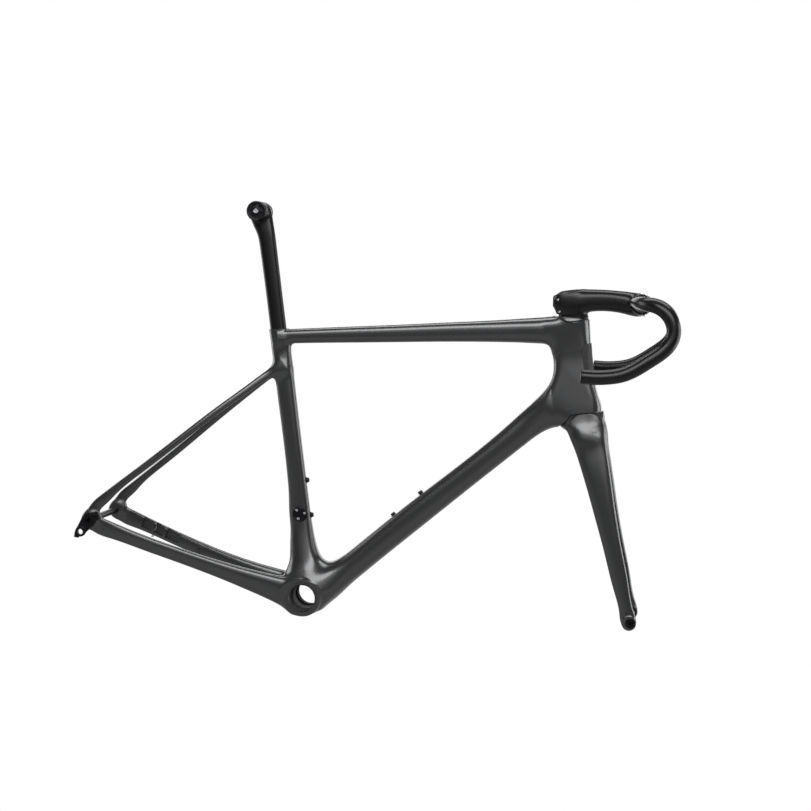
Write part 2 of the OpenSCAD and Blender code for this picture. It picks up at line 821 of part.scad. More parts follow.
module top_cap_bolt() {
    color(steel) steering_frame() difference() {
        translate([0, 0, steerer_top - 36]) cylinder(h = 39.5, r = 3, $fn = 32);
        translate([0, 0, steerer_top]) cylinder(h = 5, r = 2, $fn = 6);
    }
}
module steerer_expander() {
    color(anodised_black) ring_at(steerer_top - 34, 34, steerer_r - 2.6, 3);
}

// handlebar: an aero wing across the top, a round drop at each end
wing_stations = concat([[0, 506, 622, 31.7, 31.7, 2]], smooth([
    [30, 506, 622, 31.7, 31.7, 2],
    [60, 506, 623, 38, 22, 2.1],
    [140, 508, 624, 38, 20, 2.1],
    [168, 512, 624.5, 31, 21.5, 2.1],
    [184, 519, 624.8, 26, 23.5, 2]
], 2));
module wing() {
    last = len(wing_stations) - 1;
    skin([
        for (i = [-last:last])
            let (s = wing_stations[abs(i)])
            section([s[1], -sign(i) * s[0], s[2]], [1, 0, 0], [0, 0, 1], s[3] / 2, s[4] / 2, s[5])
    ]);
}
half_bar = bar_width / 2;
drop_route = smooth([
    [513, -172, 624.6], [521, -188, 624.8], [536, -199, 623],
    [552, -204, 615], [563, -206, 602.5], [568.5, -207, 586], [566, -208.5, 568],
    [555, -210, 551], [538, -212, 534.5], [517, -213.5, 516], [497, -215, 503.5], [476, -216, 496.5],
    [456, -half_bar, 492.5], [437, -half_bar, 490.6]
], 3);
bar_sides = 16;
function bar_ring(route, i, r) =
    let (
        t = along(route, i),
        u = unit(cross(t, [0, 0.6, 0.8])),
        v = cross(t, u)
    )
    section(route[i], u, v, r, r, 2, bar_sides);
module drop_sweep(r) {
    skin([for (i = [0:len(drop_route) - 1]) bar_ring(drop_route, i, r)]);
}
module handlebar() {
    color(carbon_black) difference() {
        union() {
            wing();
            left_and_right() drop_sweep(bar_dia / 2);
        }
        left_and_right() translate([421, -half_bar, 489.2]) rotate([0, 85, 0])
            cylinder(h = 40, r = 9.6, $fn = 48);
    }
}
module bar_end_plugs() {
    color(anodised_black) left_and_right() translate([437, -half_bar, 490.6]) rotate([0, 90 - 5, 0]) {
        translate([0, 0, -4.5]) cylinder(h = 4, r1 = 9, r2 = 12, $fn = 48);
        translate([0, 0, -0.5]) cylinder(h = 12, r = 9.5, $fn = 48);
    }
}

// ---------- seatpost and rail clamp ----------
barrel_r = 8;
head_half = 9;
module seatpost() {
    color(carbon_black) difference() {
        union() {
            seat_frame() translate([0, 0, collar_u - post_insert])
                linear_extrude(672 - collar_u + post_insert) aero_outline(post_depth, post_width);
            seat_frame() hull() {
                translate([0, 0, 671]) linear_extrude(1) aero_outline(post_depth, post_width);
                translate([clamp_pos.x, head_half, clamp_pos.y]) rotate([90, 0, 0])
                    cylinder(h = 2 * head_half, r = clamp_r - 1, $fn = 32);
            }
        }
        seat_frame() translate([clamp_pos.x, 40, clamp_pos.y]) rotate([90, 0, 0])
            cylinder(h = 80, r = barrel_r + fit, $fn = 48);
        seat_frame() translate([0, 0, collar_u - post_insert - 1]) linear_extrude(280)
            aero_outline(post_depth, post_width, 2.4);
    }
}
module clamp_frame() {
    seat_frame() translate([clamp_pos.x, 0, clamp_pos.y]) rotate([0, 90 - seat_angle, 0]) children();
}
module y_cyl(y0, y1, r, fn = 48) {
    translate([0, y1, 0]) rotate([90, 0, 0]) cylinder(h = y1 - y0, r = r, $fn = fn);
}
module rail_grooves() {
    for (y = [-rail_y, rail_y]) translate([-40, y, rail_up]) rotate([0, 90, 0])
        cylinder(h = 80, r = rail_r, $fn = 48);
}
module rail_cradle() {
    color(anodised_black) clamp_frame() difference() {
        union() {
            y_cyl(-head_half - 4, head_half + 4, barrel_r);
            left_and_right() y_cyl(post_width / 2 + 0.4, rail_y - 0.3, clamp_r);
        }
        rail_grooves();
        y_cyl(-60, 60, 3);
    }
}
module rail_jaws() {
    color(anodised_black) clamp_frame() difference() {
        left_and_right() y_cyl(rail_y + 0.3, rail_y + 6.5, clamp_r);
        rail_grooves();
        y_cyl(-60, 60, 3);
        for (a = [-90, 30, 150]) left_and_right()
            translate([11.5 * cos(a), 0, 11.5 * sin(a)]) y_cyl(rail_y + 5, rail_y + 10, 3.6, 32);
    }
}
module rail_clamp_bolt() {
    color(steel) clamp_frame() difference() {
        union() {
            y_cyl(-rail_y - 9.5, -rail_y - 6.5, 5.2);
            y_cyl(-rail_y - 6.5, rail_y + 6.5, 3);
        }
        translate([0, -rail_y - 8, 0]) rotate([90, 0, 0]) cylinder(h = 6, r = 2.9, $fn = 6);
    }
}
module rail_clamp_nut() {
    color(steel) clamp_frame() y_cyl(rail_y + 6.5, rail_y + 9.5, 5.2);
}

// ---------- thru-axles ----------
// relief grooves mark off the length that each hub sits on
module thru_axle(x, half_hub, right_end, left_face) {
    color(anodised_black) difference() {
        union() {
            cross_cyl(x, axle_z, right_end, left_face, axle_r, 48);
            cross_cyl(x, axle_z, left_face, left_face + 4, tip_r - 0.4, 48);
        }
        for (side = [-1, 1]) difference() {
            let (y = side < 0 ? -half_hub - 1 : half_hub)
                cross_cyl(x, axle_z, y, y + 1, axle_r + 1, 48);
            cross_cyl(x, axle_z, -100, 100, axle_r - 0.4, 48);
        }
        hex_socket(x, axle_z, left_face - 2, left_face + 8, 6);
        cross_cyl(x, axle_z, right_end - 1, right_end + 12, 3.5, 32);
    }
}
module rear_axle() {
    thru_axle(-rear_axle_x, inner_face, hanger_y + 0.5, inner_face + drop_t + 0.1);
}
module front_axle() {
    thru_axle(front_axle_x, tip_inner, -tip_inner - 9, tip_inner + 10.8);
}

head_tube();
top_tube();
down_tube();
seat_tube();
bb_shell();
bb_sleeve();
chainstay(-1);  // chainstay_right
chainstay(1);  // chainstay_left
seatstay(-1);  // seatstay_right
seatstay(1);  // seatstay_left
dropout_right();
dropout_left();
derailleur_hanger();
hanger_bolt();
derailleur_mount_cover();
cover_screws();
bottle_rivnuts();
bottle_bolts();
hose_grommet();
brake_mount_inserts();
seatpost_wedge();
wedge_bolt();
head_tube_guard();
upper_bearing_outer();
lower_bearing_outer();
upper_bearing_balls();
lower_bearing_balls();
steerer();
fork_crown();
fork_leg(-1);  // fork_leg_right
fork_leg(1);  // fork_leg_left
fork_tip_inserts();
crown_race();
lower_bearing_inner();
upper_bearing_inner();
compression_ring();
headset_cover();
stem_spacer();
stem();
stem_faceplate();
faceplate_bolts();
pinch_bolts();
top_cap();
top_cap_bolt();
steerer_expander();
handlebar();
bar_end_plugs();
seatpost();
rail_cradle();
rail_jaws();
rail_clamp_bolt();
rail_clamp_nut();
rear_axle();
front_axle();
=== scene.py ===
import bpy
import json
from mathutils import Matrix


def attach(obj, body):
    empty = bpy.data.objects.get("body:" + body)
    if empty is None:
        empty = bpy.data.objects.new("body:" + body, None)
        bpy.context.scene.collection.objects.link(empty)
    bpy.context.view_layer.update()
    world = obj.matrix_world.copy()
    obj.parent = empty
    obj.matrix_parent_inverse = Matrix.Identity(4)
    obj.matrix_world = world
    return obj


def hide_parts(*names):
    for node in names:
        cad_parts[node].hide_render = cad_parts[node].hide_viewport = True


bl_info = {
    "name": "Road frameset",
    "version": (1, 0, 0),
    "blender": (4, 5, 0),
    "location": "View3D > Sidebar > Frameset",
    "description": "Carbon road frame, fork, cockpit and seatpost built round the packed part",
    "category": "Add Mesh",
}

import json
import math

import bmesh
import bpy
import numpy as np
import openvdb
from bpy.props import FloatProperty, FloatVectorProperty, PointerProperty
from mathutils import Matrix, Vector

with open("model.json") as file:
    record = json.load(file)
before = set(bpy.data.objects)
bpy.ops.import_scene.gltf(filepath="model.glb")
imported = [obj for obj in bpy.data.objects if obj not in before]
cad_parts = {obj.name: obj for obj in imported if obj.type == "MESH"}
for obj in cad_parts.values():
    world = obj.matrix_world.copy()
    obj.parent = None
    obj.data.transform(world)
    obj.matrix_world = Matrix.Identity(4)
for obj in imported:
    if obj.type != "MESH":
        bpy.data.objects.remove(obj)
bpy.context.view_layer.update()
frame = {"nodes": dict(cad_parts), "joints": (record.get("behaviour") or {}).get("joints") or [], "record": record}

# Shapes are worked out in millimetres and scaled to metres as each mesh is made.
MM = 0.001


# ---------------------------------------------------------------- driving places, from the frame
def mount(name):
    return next(m for m in frame["record"]["mounts"] if m["name"] == name)


def joint(name):
    return next(j for j in frame["joints"] if j["name"] == name)


def mm(values):
    return np.array(values, float) * 1000


STEER_AT = mm(joint("steering")["pos_m"])
STEER_UP = np.array(joint("steering")["axis"], float)
SEAT_UP = np.array(joint("seatpost_height")["axis"], float)
CLAMP_AT = mm(joint("saddle_tilt")["pos_m"])
REAR_AXLE = mm(mount("rear_wheel_axle")["pos_m"])
FRONT_AXLE = mm(mount("front_wheel_axle")["pos_m"])
HANGER_HOLE = mm(mount("derailleur_hanger_hole")["pos_m"])
BORE_R = mount("bb_shell")["dims"]["r_mm"]
SHELL_HALF = mount("bb_shell")["dims"]["length_mm"] / 2
AXLE_R = mount("rear_wheel_axle")["dims"]["r_mm"]
DROP_INNER = mount("rear_wheel_axle")["dims"]["length_mm"] / 2 + 0.5
TIP_INNER = mount("front_wheel_axle")["dims"]["length_mm"] / 2 + 0.5
CLAMP_BACK = 9.0            # the rail clamp's bolt, behind the seatpost's own line
HEAD_LENGTH = 161.5         # head tube, from the fork's seam to the top cover's seam
STEERER_R = 14.3            # the hole that the steerer passes through


def placed(x, z, at):
    """A placing whose local X and Z point along x and z, and local Y square to both."""
    x, z = Vector(x), Vector(z)
    m = Matrix.Identity(4)
    for i, v in enumerate((x, z.cross(x), z, Vector(at))):
        m.col[i][:3] = v
    return m


class Line:
    """A sloping line in the frame's middle plane, with distances along it and above it."""

    def __init__(self, at, along):
        self.at = np.array([at[0], at[-1]], float)
        d = np.array([along[0], along[-1]], float)
        self.d = d / np.linalg.norm(d)
        self.n = np.array([-self.d[1], self.d[0]])

    def local(self, p):
        x, z = p[:, 0] - self.at[0], p[:, 2] - self.at[1]
        return x * self.d[0] + z * self.d[1], x * self.n[0] + z * self.n[1]

    def point(self, along, above=0.0, y=0.0):
        q = self.at + along * self.d + above * self.n
        return np.array([q[0], y, q[1]])

    def place(self, along=0.0, above=0.0, y=0.0):
        """Local Z runs along the line, local X points below it (forwards on a steep one), local Y to the left."""
        x, z = (-self.n[0], 0, -self.n[1]), (self.d[0], 0, self.d[1])
        return placed(x, z, self.point(along, above, y))


def slope(degrees):
    return (math.cos(math.radians(degrees)), math.sin(math.radians(degrees)))


STEER = Line(STEER_AT, STEER_UP)
SEAT = Line(CLAMP_AT + CLAMP_BACK * np.array([SEAT_UP[2], 0, -SEAT_UP[0]]), SEAT_UP)
SEAT = Line(SEAT.at - SEAT.d * SEAT.at[1] / SEAT.d[1], SEAT_UP)
TOP = Line((0, 482), slope(11.6))
DOWN = Line((0, 0), slope(48.67))


def across(x, z, y=0.0, out=-1):
    """Local Z points out of the side, to the right when out is -1; local X stays level, forwards."""
    return placed((1, 0, 0), (0, out, 0), (x, y, z))


# ---------------------------------------------------------------- smooth solids as distance fields
def spline(at, rows):
    """Natural cubic spline through the rows, one column for each value, sampled finely."""
    at, rows = np.array(at, float), np.array(rows, float)
    n = len(at)
    h = np.diff(at)
    a, b = np.eye(n), np.zeros_like(rows)
    for i in range(1, n - 1):
        a[i, i - 1], a[i, i], a[i, i + 1] = h[i - 1], 2 * (h[i - 1] + h[i]), h[i]
        b[i] = 6 * ((rows[i + 1] - rows[i]) / h[i] - (rows[i] - rows[i - 1]) / h[i - 1])
    m = np.linalg.solve(a, b)
    s = np.linspace(at[0], at[-1], 600)
    k = np.clip(np.searchsorted(at, s) - 1, 0, n - 2)
    t0, t1, hk = (at[k + 1] - s)[:, None], (s - at[k])[:, None], h[k][:, None]
    values = (m[k] * t0**3 + m[k + 1] * t1**3) / (6 * hk)
    values += (rows[k] / hk - m[k] * hk / 6) * t0 + (rows[k + 1] / hk - m[k + 1] * hk / 6) * t1
    return s, values


FAR = 90.0


def capped(side, end):
    return np.hypot(np.maximum(side, 0), np.maximum(end, 0)) + np.minimum(np.maximum(side, end), 0)


def join(a, b, blend):
    h = np.maximum(blend - np.abs(a - b), 0) / blend
    return np.minimum(a, b) - h**3 * blend / 6


def carve(a, b, blend):
    return -join(-a, b, blend)


def squircle(a, b, half_a, half_b, power):
    """Distance to a rounded oblong, right to first order at its edge."""
    u, v = np.abs(a) / half_a + 1e-6, np.abs(b) / half_b + 1e-6
    q = (u**power + v**power) ** (1 / power)
    steep = q ** (1 - power) * np.hypot(u ** (power - 1) / half_a, v ** (power - 1) / half_b)
    return (q - 1) / np.maximum(steep, 1e-4)


class Strut:
    """A tube along a line. Each row: distance along, upper edge, lower edge, width, squareness, middle's y."""

    def __init__(self, line, rows):
        rows = [list(r) + [0] * (6 - len(r)) for r in rows]
        self.line = line
        self.s, self.v = spline([r[0] for r in rows], [r[1:] for r in rows])
        self.low, self.high = self.s[0], self.s[-1]
        self.reach = max(max(abs(r[1]), abs(r[2])) for r in rows)
        self.y = (self.v[:, 4].min() - self.v[:, 2].max() / 2, self.v[:, 4].max() + self.v[:, 2].max() / 2)

    def at(self, s):
        s = np.clip(s, self.low, self.high)
        return [np.interp(s, self.s, self.v[:, k]) for k in range(5)]

    def __call__(self, p):
        s, n = self.line.local(p)
        out = np.full(len(p), FAR)
        near = (s > self.low - 60) & (s < self.high + 60) & (np.abs(n) < self.reach + 60)
        near &= (p[:, 1] > self.y[0] - 60) & (p[:, 1] < self.y[1] + 60)
        s, n, y = s[near], n[near], p[near, 1]
        up, low, wide, power, mid = self.at(s)
        side = squircle(n - (up + low) / 2, y - mid, (up - low) / 2, wide / 2, power)
        out[near] = np.minimum(capped(side, np.maximum(self.low - s, s - self.high)), FAR)
        return out


def drum(p, x, z, radius, half, mid_y=0.0, edge=0.0):
    """A cylinder across the frame, its rims rounded by edge."""
    side = np.hypot(p[:, 0] - x, p[:, 2] - z) - radius + edge
    return capped(side, np.abs(p[:, 1] - mid_y) - half + edge) - edge


class Plate:
    """A flat outline in the side view, with rounded corners, thickness across the frame."""

    def __init__(self, outline, mid_y, thickness, rounding):
        self.o = np.array(outline, float)
        self.mid, self.half, self.round = mid_y, thickness / 2, rounding

    def __call__(self, p):
        out = np.full(len(p), FAR)
        lo, hi = self.o.min(0) - 50, self.o.max(0) + 50
        near = (p[:, 0] > lo[0]) & (p[:, 0] < hi[0]) & (p[:, 2] > lo[1]) & (p[:, 2] < hi[1])
        q = p[near][:, [0, 2]]
        best, inside = np.full(len(q), 1e9), np.zeros(len(q), bool)
        for a, b in zip(self.o, np.roll(self.o, -1, 0)):
            e, w = b - a, q - a
            t = np.clip((w @ e) / (e @ e), 0, 1)
            best = np.minimum(best, np.hypot(*(w - t[:, None] * e).T))
            above = (a[1] > q[:, 1]) != (b[1] > q[:, 1])
            with np.errstate(divide="ignore", invalid="ignore"):
                cross = a[0] + (q[:, 1] - a[1]) * e[0] / e[1]
            inside ^= above & (q[:, 0] < cross)
        flat = np.where(inside, -best, best)
        r = self.round
        out[near] = capped(flat, np.abs(p[near, 1] - self.mid) - self.half + r) - r
        return out


def solid_mesh(field, low, high, cell):
    """Quads over the field's surface, every corner pulled exactly onto it. Returns points and faces."""
    low, high = np.array(low, float), np.array(high, float)
    step = 4
    n = np.ceil((high - low) / (cell * step)).astype(int) + 1
    axes = [low[i] + cell * step * (np.arange(n[i]) + 0.375) for i in range(3)]
    grid = np.stack(np.meshgrid(*axes, indexing="ij"), -1).reshape(-1, 3)
    coarse = field(grid).reshape(n)
    near = np.abs(coarse) < cell * step * 1.5
    fine = np.repeat(np.repeat(np.repeat(coarse, step, 0), step, 1), step, 2)
    mask = np.repeat(np.repeat(np.repeat(near, step, 0), step, 1), step, 2)
    index = np.argwhere(mask)
    values = np.empty(len(index))
    for i in range(0, len(index), 400000):
        values[i : i + 400000] = field(low + cell * index[i : i + 400000])
    fine[mask] = values
    fine = np.clip(fine / cell, -3, 3)
    volume = openvdb.FloatGrid(3.0)
    volume.copyFromArray(fine.astype(np.float32))
    points, _, quads = volume.convertToPolygons(0.0, 0.0)
    points = low + cell * np.array(points, float)
    for _ in range(4):
        value, g = slope_of(field, points)
        points -= np.clip(value, -cell, cell)[:, None] * g
    return points, np.array(quads)


def slope_of(field, points, h=0.05):
    value = field(points)
    g = np.empty_like(points)
    for i in range(3):
        step = np.zeros(3)
        step[i] = h
        g[:, i] = (field(points + step) - field(points - step)) / (2 * h)
    length = np.linalg.norm(g, axis=1)
    return value / np.maximum(length, 0.2), g / np.maximum(length, 1e-9)[:, None]


# ---------------------------------------------------------------- mesh helpers
def make_object(name, points, faces, finish=None):
    mesh = bpy.data.meshes.new(name)
    mesh.from_pydata((np.array(points, float) * MM).tolist(), [], [list(map(int, f)) for f in faces])
    mesh.update()
    obj = bpy.data.objects.new(name, mesh)
    bpy.context.scene.collection.objects.link(obj)
    if finish:
        mesh.materials.append(finish)
    return obj


def finished(obj, body, nodes=(), finish=None, sharp=35):
    """Puts a piece on its body, with crisp edges where its faces turn by more than sharp degrees."""
    if finish:
        obj.data.materials.clear()
        obj.data.materials.append(finish)
    if sharp:
        obj.data.shade_smooth()
        obj.data.set_sharp_from_angle(angle=math.radians(sharp))
    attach(obj, body)
    if nodes:
        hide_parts(*nodes)
    return obj


def cut(obj, cutters):
    """Subtracts each cutter in turn, and removes it."""
    for cutter in cutters:
        modifier = obj.modifiers.new("boolean", "BOOLEAN")
        modifier.object, modifier.operation, modifier.solver = cutter, "DIFFERENCE", "MANIFOLD"
    depsgraph = bpy.context.evaluated_depsgraph_get()
    mesh = bpy.data.meshes.new_from_object(obj.evaluated_get(depsgraph))
    obj.modifiers.clear()
    old = obj.data
    obj.data = mesh
    bpy.data.meshes.remove(old)
    mesh.name = obj.name
    for cutter in cutters:
        bpy.data.objects.remove(cutter)
    return obj


def turned_points(profile, segments):
    """A closed ring of profile points (radius, height) turned about local Z."""
    points, faces, rings = [], [], []
    for r, h in profile:
        if r < 1e-6:
            rings.append([len(points)] * segments)
            points.append((0, 0, h))
        else:
            rings.append(list(range(len(points), len(points) + segments)))
            for i in range(segments):
                a = 2 * math.pi * i / segments
                points.append((r * math.cos(a), r * math.sin(a), h))
    for a, b in zip(rings, rings[1:] + rings[:1]):
        for i in range(segments):
            j = (i + 1) % segments
            face = []
            for v in (a[i], a[j], b[j], b[i]):
                if v not in face:
                    face.append(v)
            if len(face) > 2:
                faces.append(face)
    return points, faces


def turned(name, profile, place, segments=96, finish=None):
    points, faces = turned_points(profile, segments)
    obj = make_object(name, [place @ Vector(p) for p in points], faces, finish)
    outwards(obj)
    return obj


def outwards(obj):
    work = bmesh.new()
    work.from_mesh(obj.data)
    bmesh.ops.remove_doubles(work, verts=work.verts, dist=1e-7)
    bmesh.ops.recalc_face_normals(work, faces=work.faces)
    work.to_mesh(obj.data)
    work.free()


def block(name, low, high, place=None, finish=None):
    place = place or Matrix.Identity(4)
    corners = [
        place @ Vector((x, y, z)) for x in (low[0], high[0]) for y in (low[1], high[1]) for z in (low[2], high[2])
    ]
    faces = [(0, 1, 3, 2), (4, 6, 7, 5), (0, 4, 5, 1), (2, 3, 7, 6), (0, 2, 6, 4), (1, 5, 7, 3)]
    obj = make_object(name, corners, faces, finish)
    outwards(obj)
    return obj


def prism(name, outline, low, high, place, finish=None):
    """An outline in local X and Y, drawn out from low to high along local Z."""
    n = len(outline)
    points = [place @ Vector((x, y, h)) for h in (low, high) for x, y in outline]
    faces = [list(range(n - 1, -1, -1)), list(range(n, 2 * n))]
    faces += [[i, (i + 1) % n, n + (i + 1) % n, n + i] for i in range(n)]
    obj = make_object(name, points, faces, finish)
    outwards(obj)
    return obj


def swept(name, rings, finish=None):
    """Quads between rings of equal length, with a face over each end."""
    n = len(rings[0])
    points = [p for ring in rings for p in ring]
    faces = [
        [k * n + i, k * n + (i + 1) % n, (k + 1) * n + (i + 1) % n, (k + 1) * n + i]
        for k in range(len(rings) - 1)
        for i in range(n)
    ]
    faces += [list(range(n - 1, -1, -1)), [(len(rings) - 1) * n + i for i in range(n)]]
    obj = make_object(name, points, faces, finish)
    outwards(obj)
    return obj


def oval(half_a, half_b, power, sides):
    out = []
    for i in range(sides):
        t = 2 * math.pi * (i + 0.5) / sides
        c, s = math.cos(t), math.sin(t)
        a, b = math.copysign(abs(c) ** (2 / power), c), math.copysign(abs(s) ** (2 / power), s)
        out.append((half_a * a, half_b * b))
    return out


def screw_shape(name, head_r, head_h, socket, shank_r=0.0, shank=0.0, finish=None):
    """A cap screw with a chamfered head, its hexagon socket cut in. Local Z points out, the head's seat at zero."""
    c = head_h * 0.22
    profile = [(0, 0)] if not shank else [(0, -shank), (shank_r, -shank), (shank_r, 0)]
    floor = head_h - c * 0.6
    profile += [(head_r, 0), (head_r, head_h - c), (head_r - c, head_h), (socket * 0.62, head_h)]
    profile += [(socket * 0.56, floor), (0, floor)]
    points, faces = turned_points(profile, 48)
    head = make_object(name, points, faces, finish)
    outwards(head)
    corner_r = socket / 2 / math.cos(math.pi / 6)
    hexagon = [(corner_r * math.cos(math.pi / 3 * k), corner_r * math.sin(math.pi / 3 * k)) for k in range(6)]
    return cut(head, [prism(name + "_socket", hexagon, head_h * 0.25, head_h + 1, Matrix.Identity(4))])


def polish(obj, field, crisp=0.45):
    """Shades the field's own surface by its exact slope, and the cut faces flat."""
    mesh = obj.data
    count = len(mesh.vertices)
    co = np.empty(count * 3)
    mesh.vertices.foreach_get("co", co)
    value, g = slope_of(field, co.reshape(-1, 3) / MM)
    faces = np.empty(len(mesh.polygons) * 3)
    mesh.polygons.foreach_get("normal", faces)
    faces = faces.reshape(-1, 3)
    corner = np.empty(len(mesh.loops), int)
    mesh.loops.foreach_get("vertex_index", corner)
    totals = np.empty(len(mesh.polygons), int)
    mesh.polygons.foreach_get("loop_total", totals)
    owner = np.repeat(np.arange(len(mesh.polygons)), totals)
    normals = faces[owner]
    own = (np.abs(value[corner]) < 0.12) & ((g[corner] * normals).sum(1) > crisp)
    on_shell = np.ones(len(mesh.polygons), bool)
    np.logical_and.at(on_shell, owner, own)
    keep = on_shell[owner]
    normals[keep] = g[corner][keep]
    mesh.shade_smooth()
    mesh.normals_split_custom_set(normals.tolist())


# ---------------------------------------------------------------- shader effects, each a group with named inputs
def effect(name, inputs, outputs):
    group = bpy.data.node_groups.new(name, "ShaderNodeTree")
    for label, kind, value in inputs:
        item = group.interface.new_socket(name=label, in_out="INPUT", socket_type=kind)
        item.default_value = value
    for label, kind in outputs:
        group.interface.new_socket(name=label, in_out="OUTPUT", socket_type=kind)
    return group, group.nodes.new("NodeGroupInput"), group.nodes.new("NodeGroupOutput")


def math_node(tree, operation, a, b=None, c=None):
    node = tree.nodes.new("ShaderNodeMath")
    node.operation = operation
    for socket, value in zip(node.inputs, (a, b, c)):
        if value is None:
            continue
        if isinstance(value, (int, float)):
            socket.default_value = value
        else:
            tree.links.new(value, socket)
    return node.outputs[0]


def noise_node(tree, vector, scale, detail=3.0, rough=0.55):
    node = tree.nodes.new("ShaderNodeTexNoise")
    node.inputs["Detail"].default_value = detail
    node.inputs["Roughness"].default_value = rough
    tree.links.new(vector, node.inputs["Vector"])
    if isinstance(scale, (int, float)):
        node.inputs["Scale"].default_value = scale
    else:
        tree.links.new(scale, node.inputs["Scale"])
    return node.outputs["Fac"]


def object_position(tree):
    return tree.nodes.new("ShaderNodeTexCoord").outputs["Object"]


def flake_group():
    """Metallic flake and the faint orange peel of a satin lacquer."""
    g, i, o = effect(
        "Lacquer grain",
        [("Flake size", "NodeSocketFloat", 2600.0), ("Peel size", "NodeSocketFloat", 130.0)],
        [("Flake", "NodeSocketFloat"), ("Height", "NodeSocketFloat")],
    )
    at = object_position(g)
    cells = g.nodes.new("ShaderNodeTexVoronoi")
    g.links.new(at, cells.inputs["Vector"])
    g.links.new(i.outputs["Flake size"], cells.inputs["Scale"])
    split = g.nodes.new("ShaderNodeSeparateColor")
    g.links.new(cells.outputs["Color"], split.inputs["Color"])
    g.links.new(math_node(g, "POWER", split.outputs[0], 3.0), o.inputs["Flake"])
    peel = noise_node(g, at, i.outputs["Peel size"], 2.0)
    tiny = math_node(g, "MULTIPLY", split.outputs[1], 0.35)
    g.links.new(math_node(g, "ADD", peel, tiny), o.inputs["Height"])
    return g


def weave_group():
    """Twill cloth seen through the lacquer: threads pass over two and under two."""
    g, i, o = effect(
        "Carbon twill",
        [("Threads", "NodeSocketFloat", 520.0)],
        [("Thread", "NodeSocketFloat"), ("Height", "NodeSocketFloat")],
    )
    split = g.nodes.new("ShaderNodeSeparateXYZ")
    g.links.new(object_position(g), split.inputs[0])
    x = math_node(g, "ADD", split.outputs["X"], split.outputs["Y"])
    u = math_node(g, "MULTIPLY", math_node(g, "ADD", x, split.outputs["Z"]), i.outputs["Threads"])
    v = math_node(g, "MULTIPLY", math_node(g, "SUBTRACT", x, split.outputs["Z"]), i.outputs["Threads"])
    step = math_node(g, "ADD", math_node(g, "FLOOR", u), math_node(g, "FLOOR", v))
    over = math_node(g, "LESS_THAN", math_node(g, "FLOORED_MODULO", step, 4.0), 2.0)
    ridge_u = math_node(g, "SINE", math_node(g, "MULTIPLY", math_node(g, "FRACT", u), math.pi))
    ridge_v = math_node(g, "SINE", math_node(g, "MULTIPLY", math_node(g, "FRACT", v), math.pi))
    chosen = g.nodes.new("ShaderNodeMix")
    g.links.new(over, chosen.inputs[0])
    g.links.new(ridge_v, chosen.inputs[2])
    g.links.new(ridge_u, chosen.inputs[3])
    g.links.new(over, o.inputs["Thread"])
    g.links.new(chosen.outputs[0], o.inputs["Height"])
    return g


def wear_group():
    """Where handling rubs a finish: raised edges, broken up by noise."""
    g, i, o = effect(
        "Rubbed edges",
        [("Amount", "NodeSocketFloat", 0.5), ("Breakup", "NodeSocketFloat", 180.0)],
        [("Mask", "NodeSocketFloat")],
    )
    shape = g.nodes.new("ShaderNodeNewGeometry")
    raised = g.nodes.new("ShaderNodeMapRange")
    raised.inputs["From Min"].default_value = 0.52
    raised.inputs["From Max"].default_value = 0.62
    g.links.new(shape.outputs["Pointiness"], raised.inputs["Value"])
    broken = noise_node(g, object_position(g), i.outputs["Breakup"], 5.0, 0.7)
    mask = math_node(g, "MULTIPLY", raised.outputs[0], broken)
    g.links.new(math_node(g, "MULTIPLY", mask, i.outputs["Amount"]), o.inputs["Mask"])
    return g


def dust_group():
    """Faint handling marks and dust, in soft patches."""
    g, i, o = effect(
        "Dust and smudges",
        [("Patch size", "NodeSocketFloat", 14.0), ("Amount", "NodeSocketFloat", 0.3)],
        [("Mask", "NodeSocketFloat")],
    )
    at = object_position(g)
    large = noise_node(g, at, i.outputs["Patch size"], 4.0, 0.6)
    fine = noise_node(g, at, 900.0, 2.0, 0.5)
    both = math_node(g, "MULTIPLY", large, math_node(g, "ADD", math_node(g, "MULTIPLY", fine, 0.5), 0.75))
    g.links.new(math_node(g, "MULTIPLY", both, i.outputs["Amount"]), o.inputs["Mask"])
    return g


def brushed_group():
    """Fine turning or brushing lines round the Y axis of a part."""
    g, i, o = effect(
        "Tool marks",
        [("Fineness", "NodeSocketFloat", 900.0)],
        [("Mask", "NodeSocketFloat")],
    )
    stretch = g.nodes.new("ShaderNodeMapping")
    stretch.inputs["Scale"].default_value = (1.0, 12.0, 1.0)
    g.links.new(object_position(g), stretch.inputs["Vector"])
    g.links.new(noise_node(g, stretch.outputs[0], i.outputs["Fineness"], 3.0, 0.7), o.inputs["Mask"])
    return g


EFFECTS = {}


def use(tree, name, **values):
    builders = {
        "flake": flake_group, "weave": weave_group, "wear": wear_group, "dust": dust_group, "marks": brushed_group,
    }
    if name not in EFFECTS:
        EFFECTS[name] = builders[name]()
    node = tree.nodes.new("ShaderNodeGroup")
    node.node_tree = EFFECTS[name]
    for key, value in values.items():
        node.inputs[key.replace("_", " ")].default_value = value
    return node


def blank_finish(name, metallic, coat=0.0, coat_rough=0.2, specular=0.5):
    material = bpy.data.materials.new(name)
    material.use_nodes = True
    tree = material.node_tree
    shader = tree.nodes["Principled BSDF"]
    shader.inputs["Metallic"].default_value = metallic
    shader.inputs["Coat Weight"].default_value = coat
    shader.inputs["Coat Roughness"].default_value = coat_rough
    shader.inputs["Specular IOR Level"].default_value = specular
    return material, tree, shader


def tint(tree, mask, low, high):
    node = tree.nodes.new("ShaderNodeMix")
    node.data_type = "RGBA"
    tree.links.new(mask, node.inputs["Factor"])
    for socket, value in ((node.inputs["A"], low), (node.inputs["B"], high)):
        if hasattr(value, "links"):
            tree.links.new(value, socket)
        else:
            socket.default_value = (*value, 1.0)
    return node.outputs["Result"]


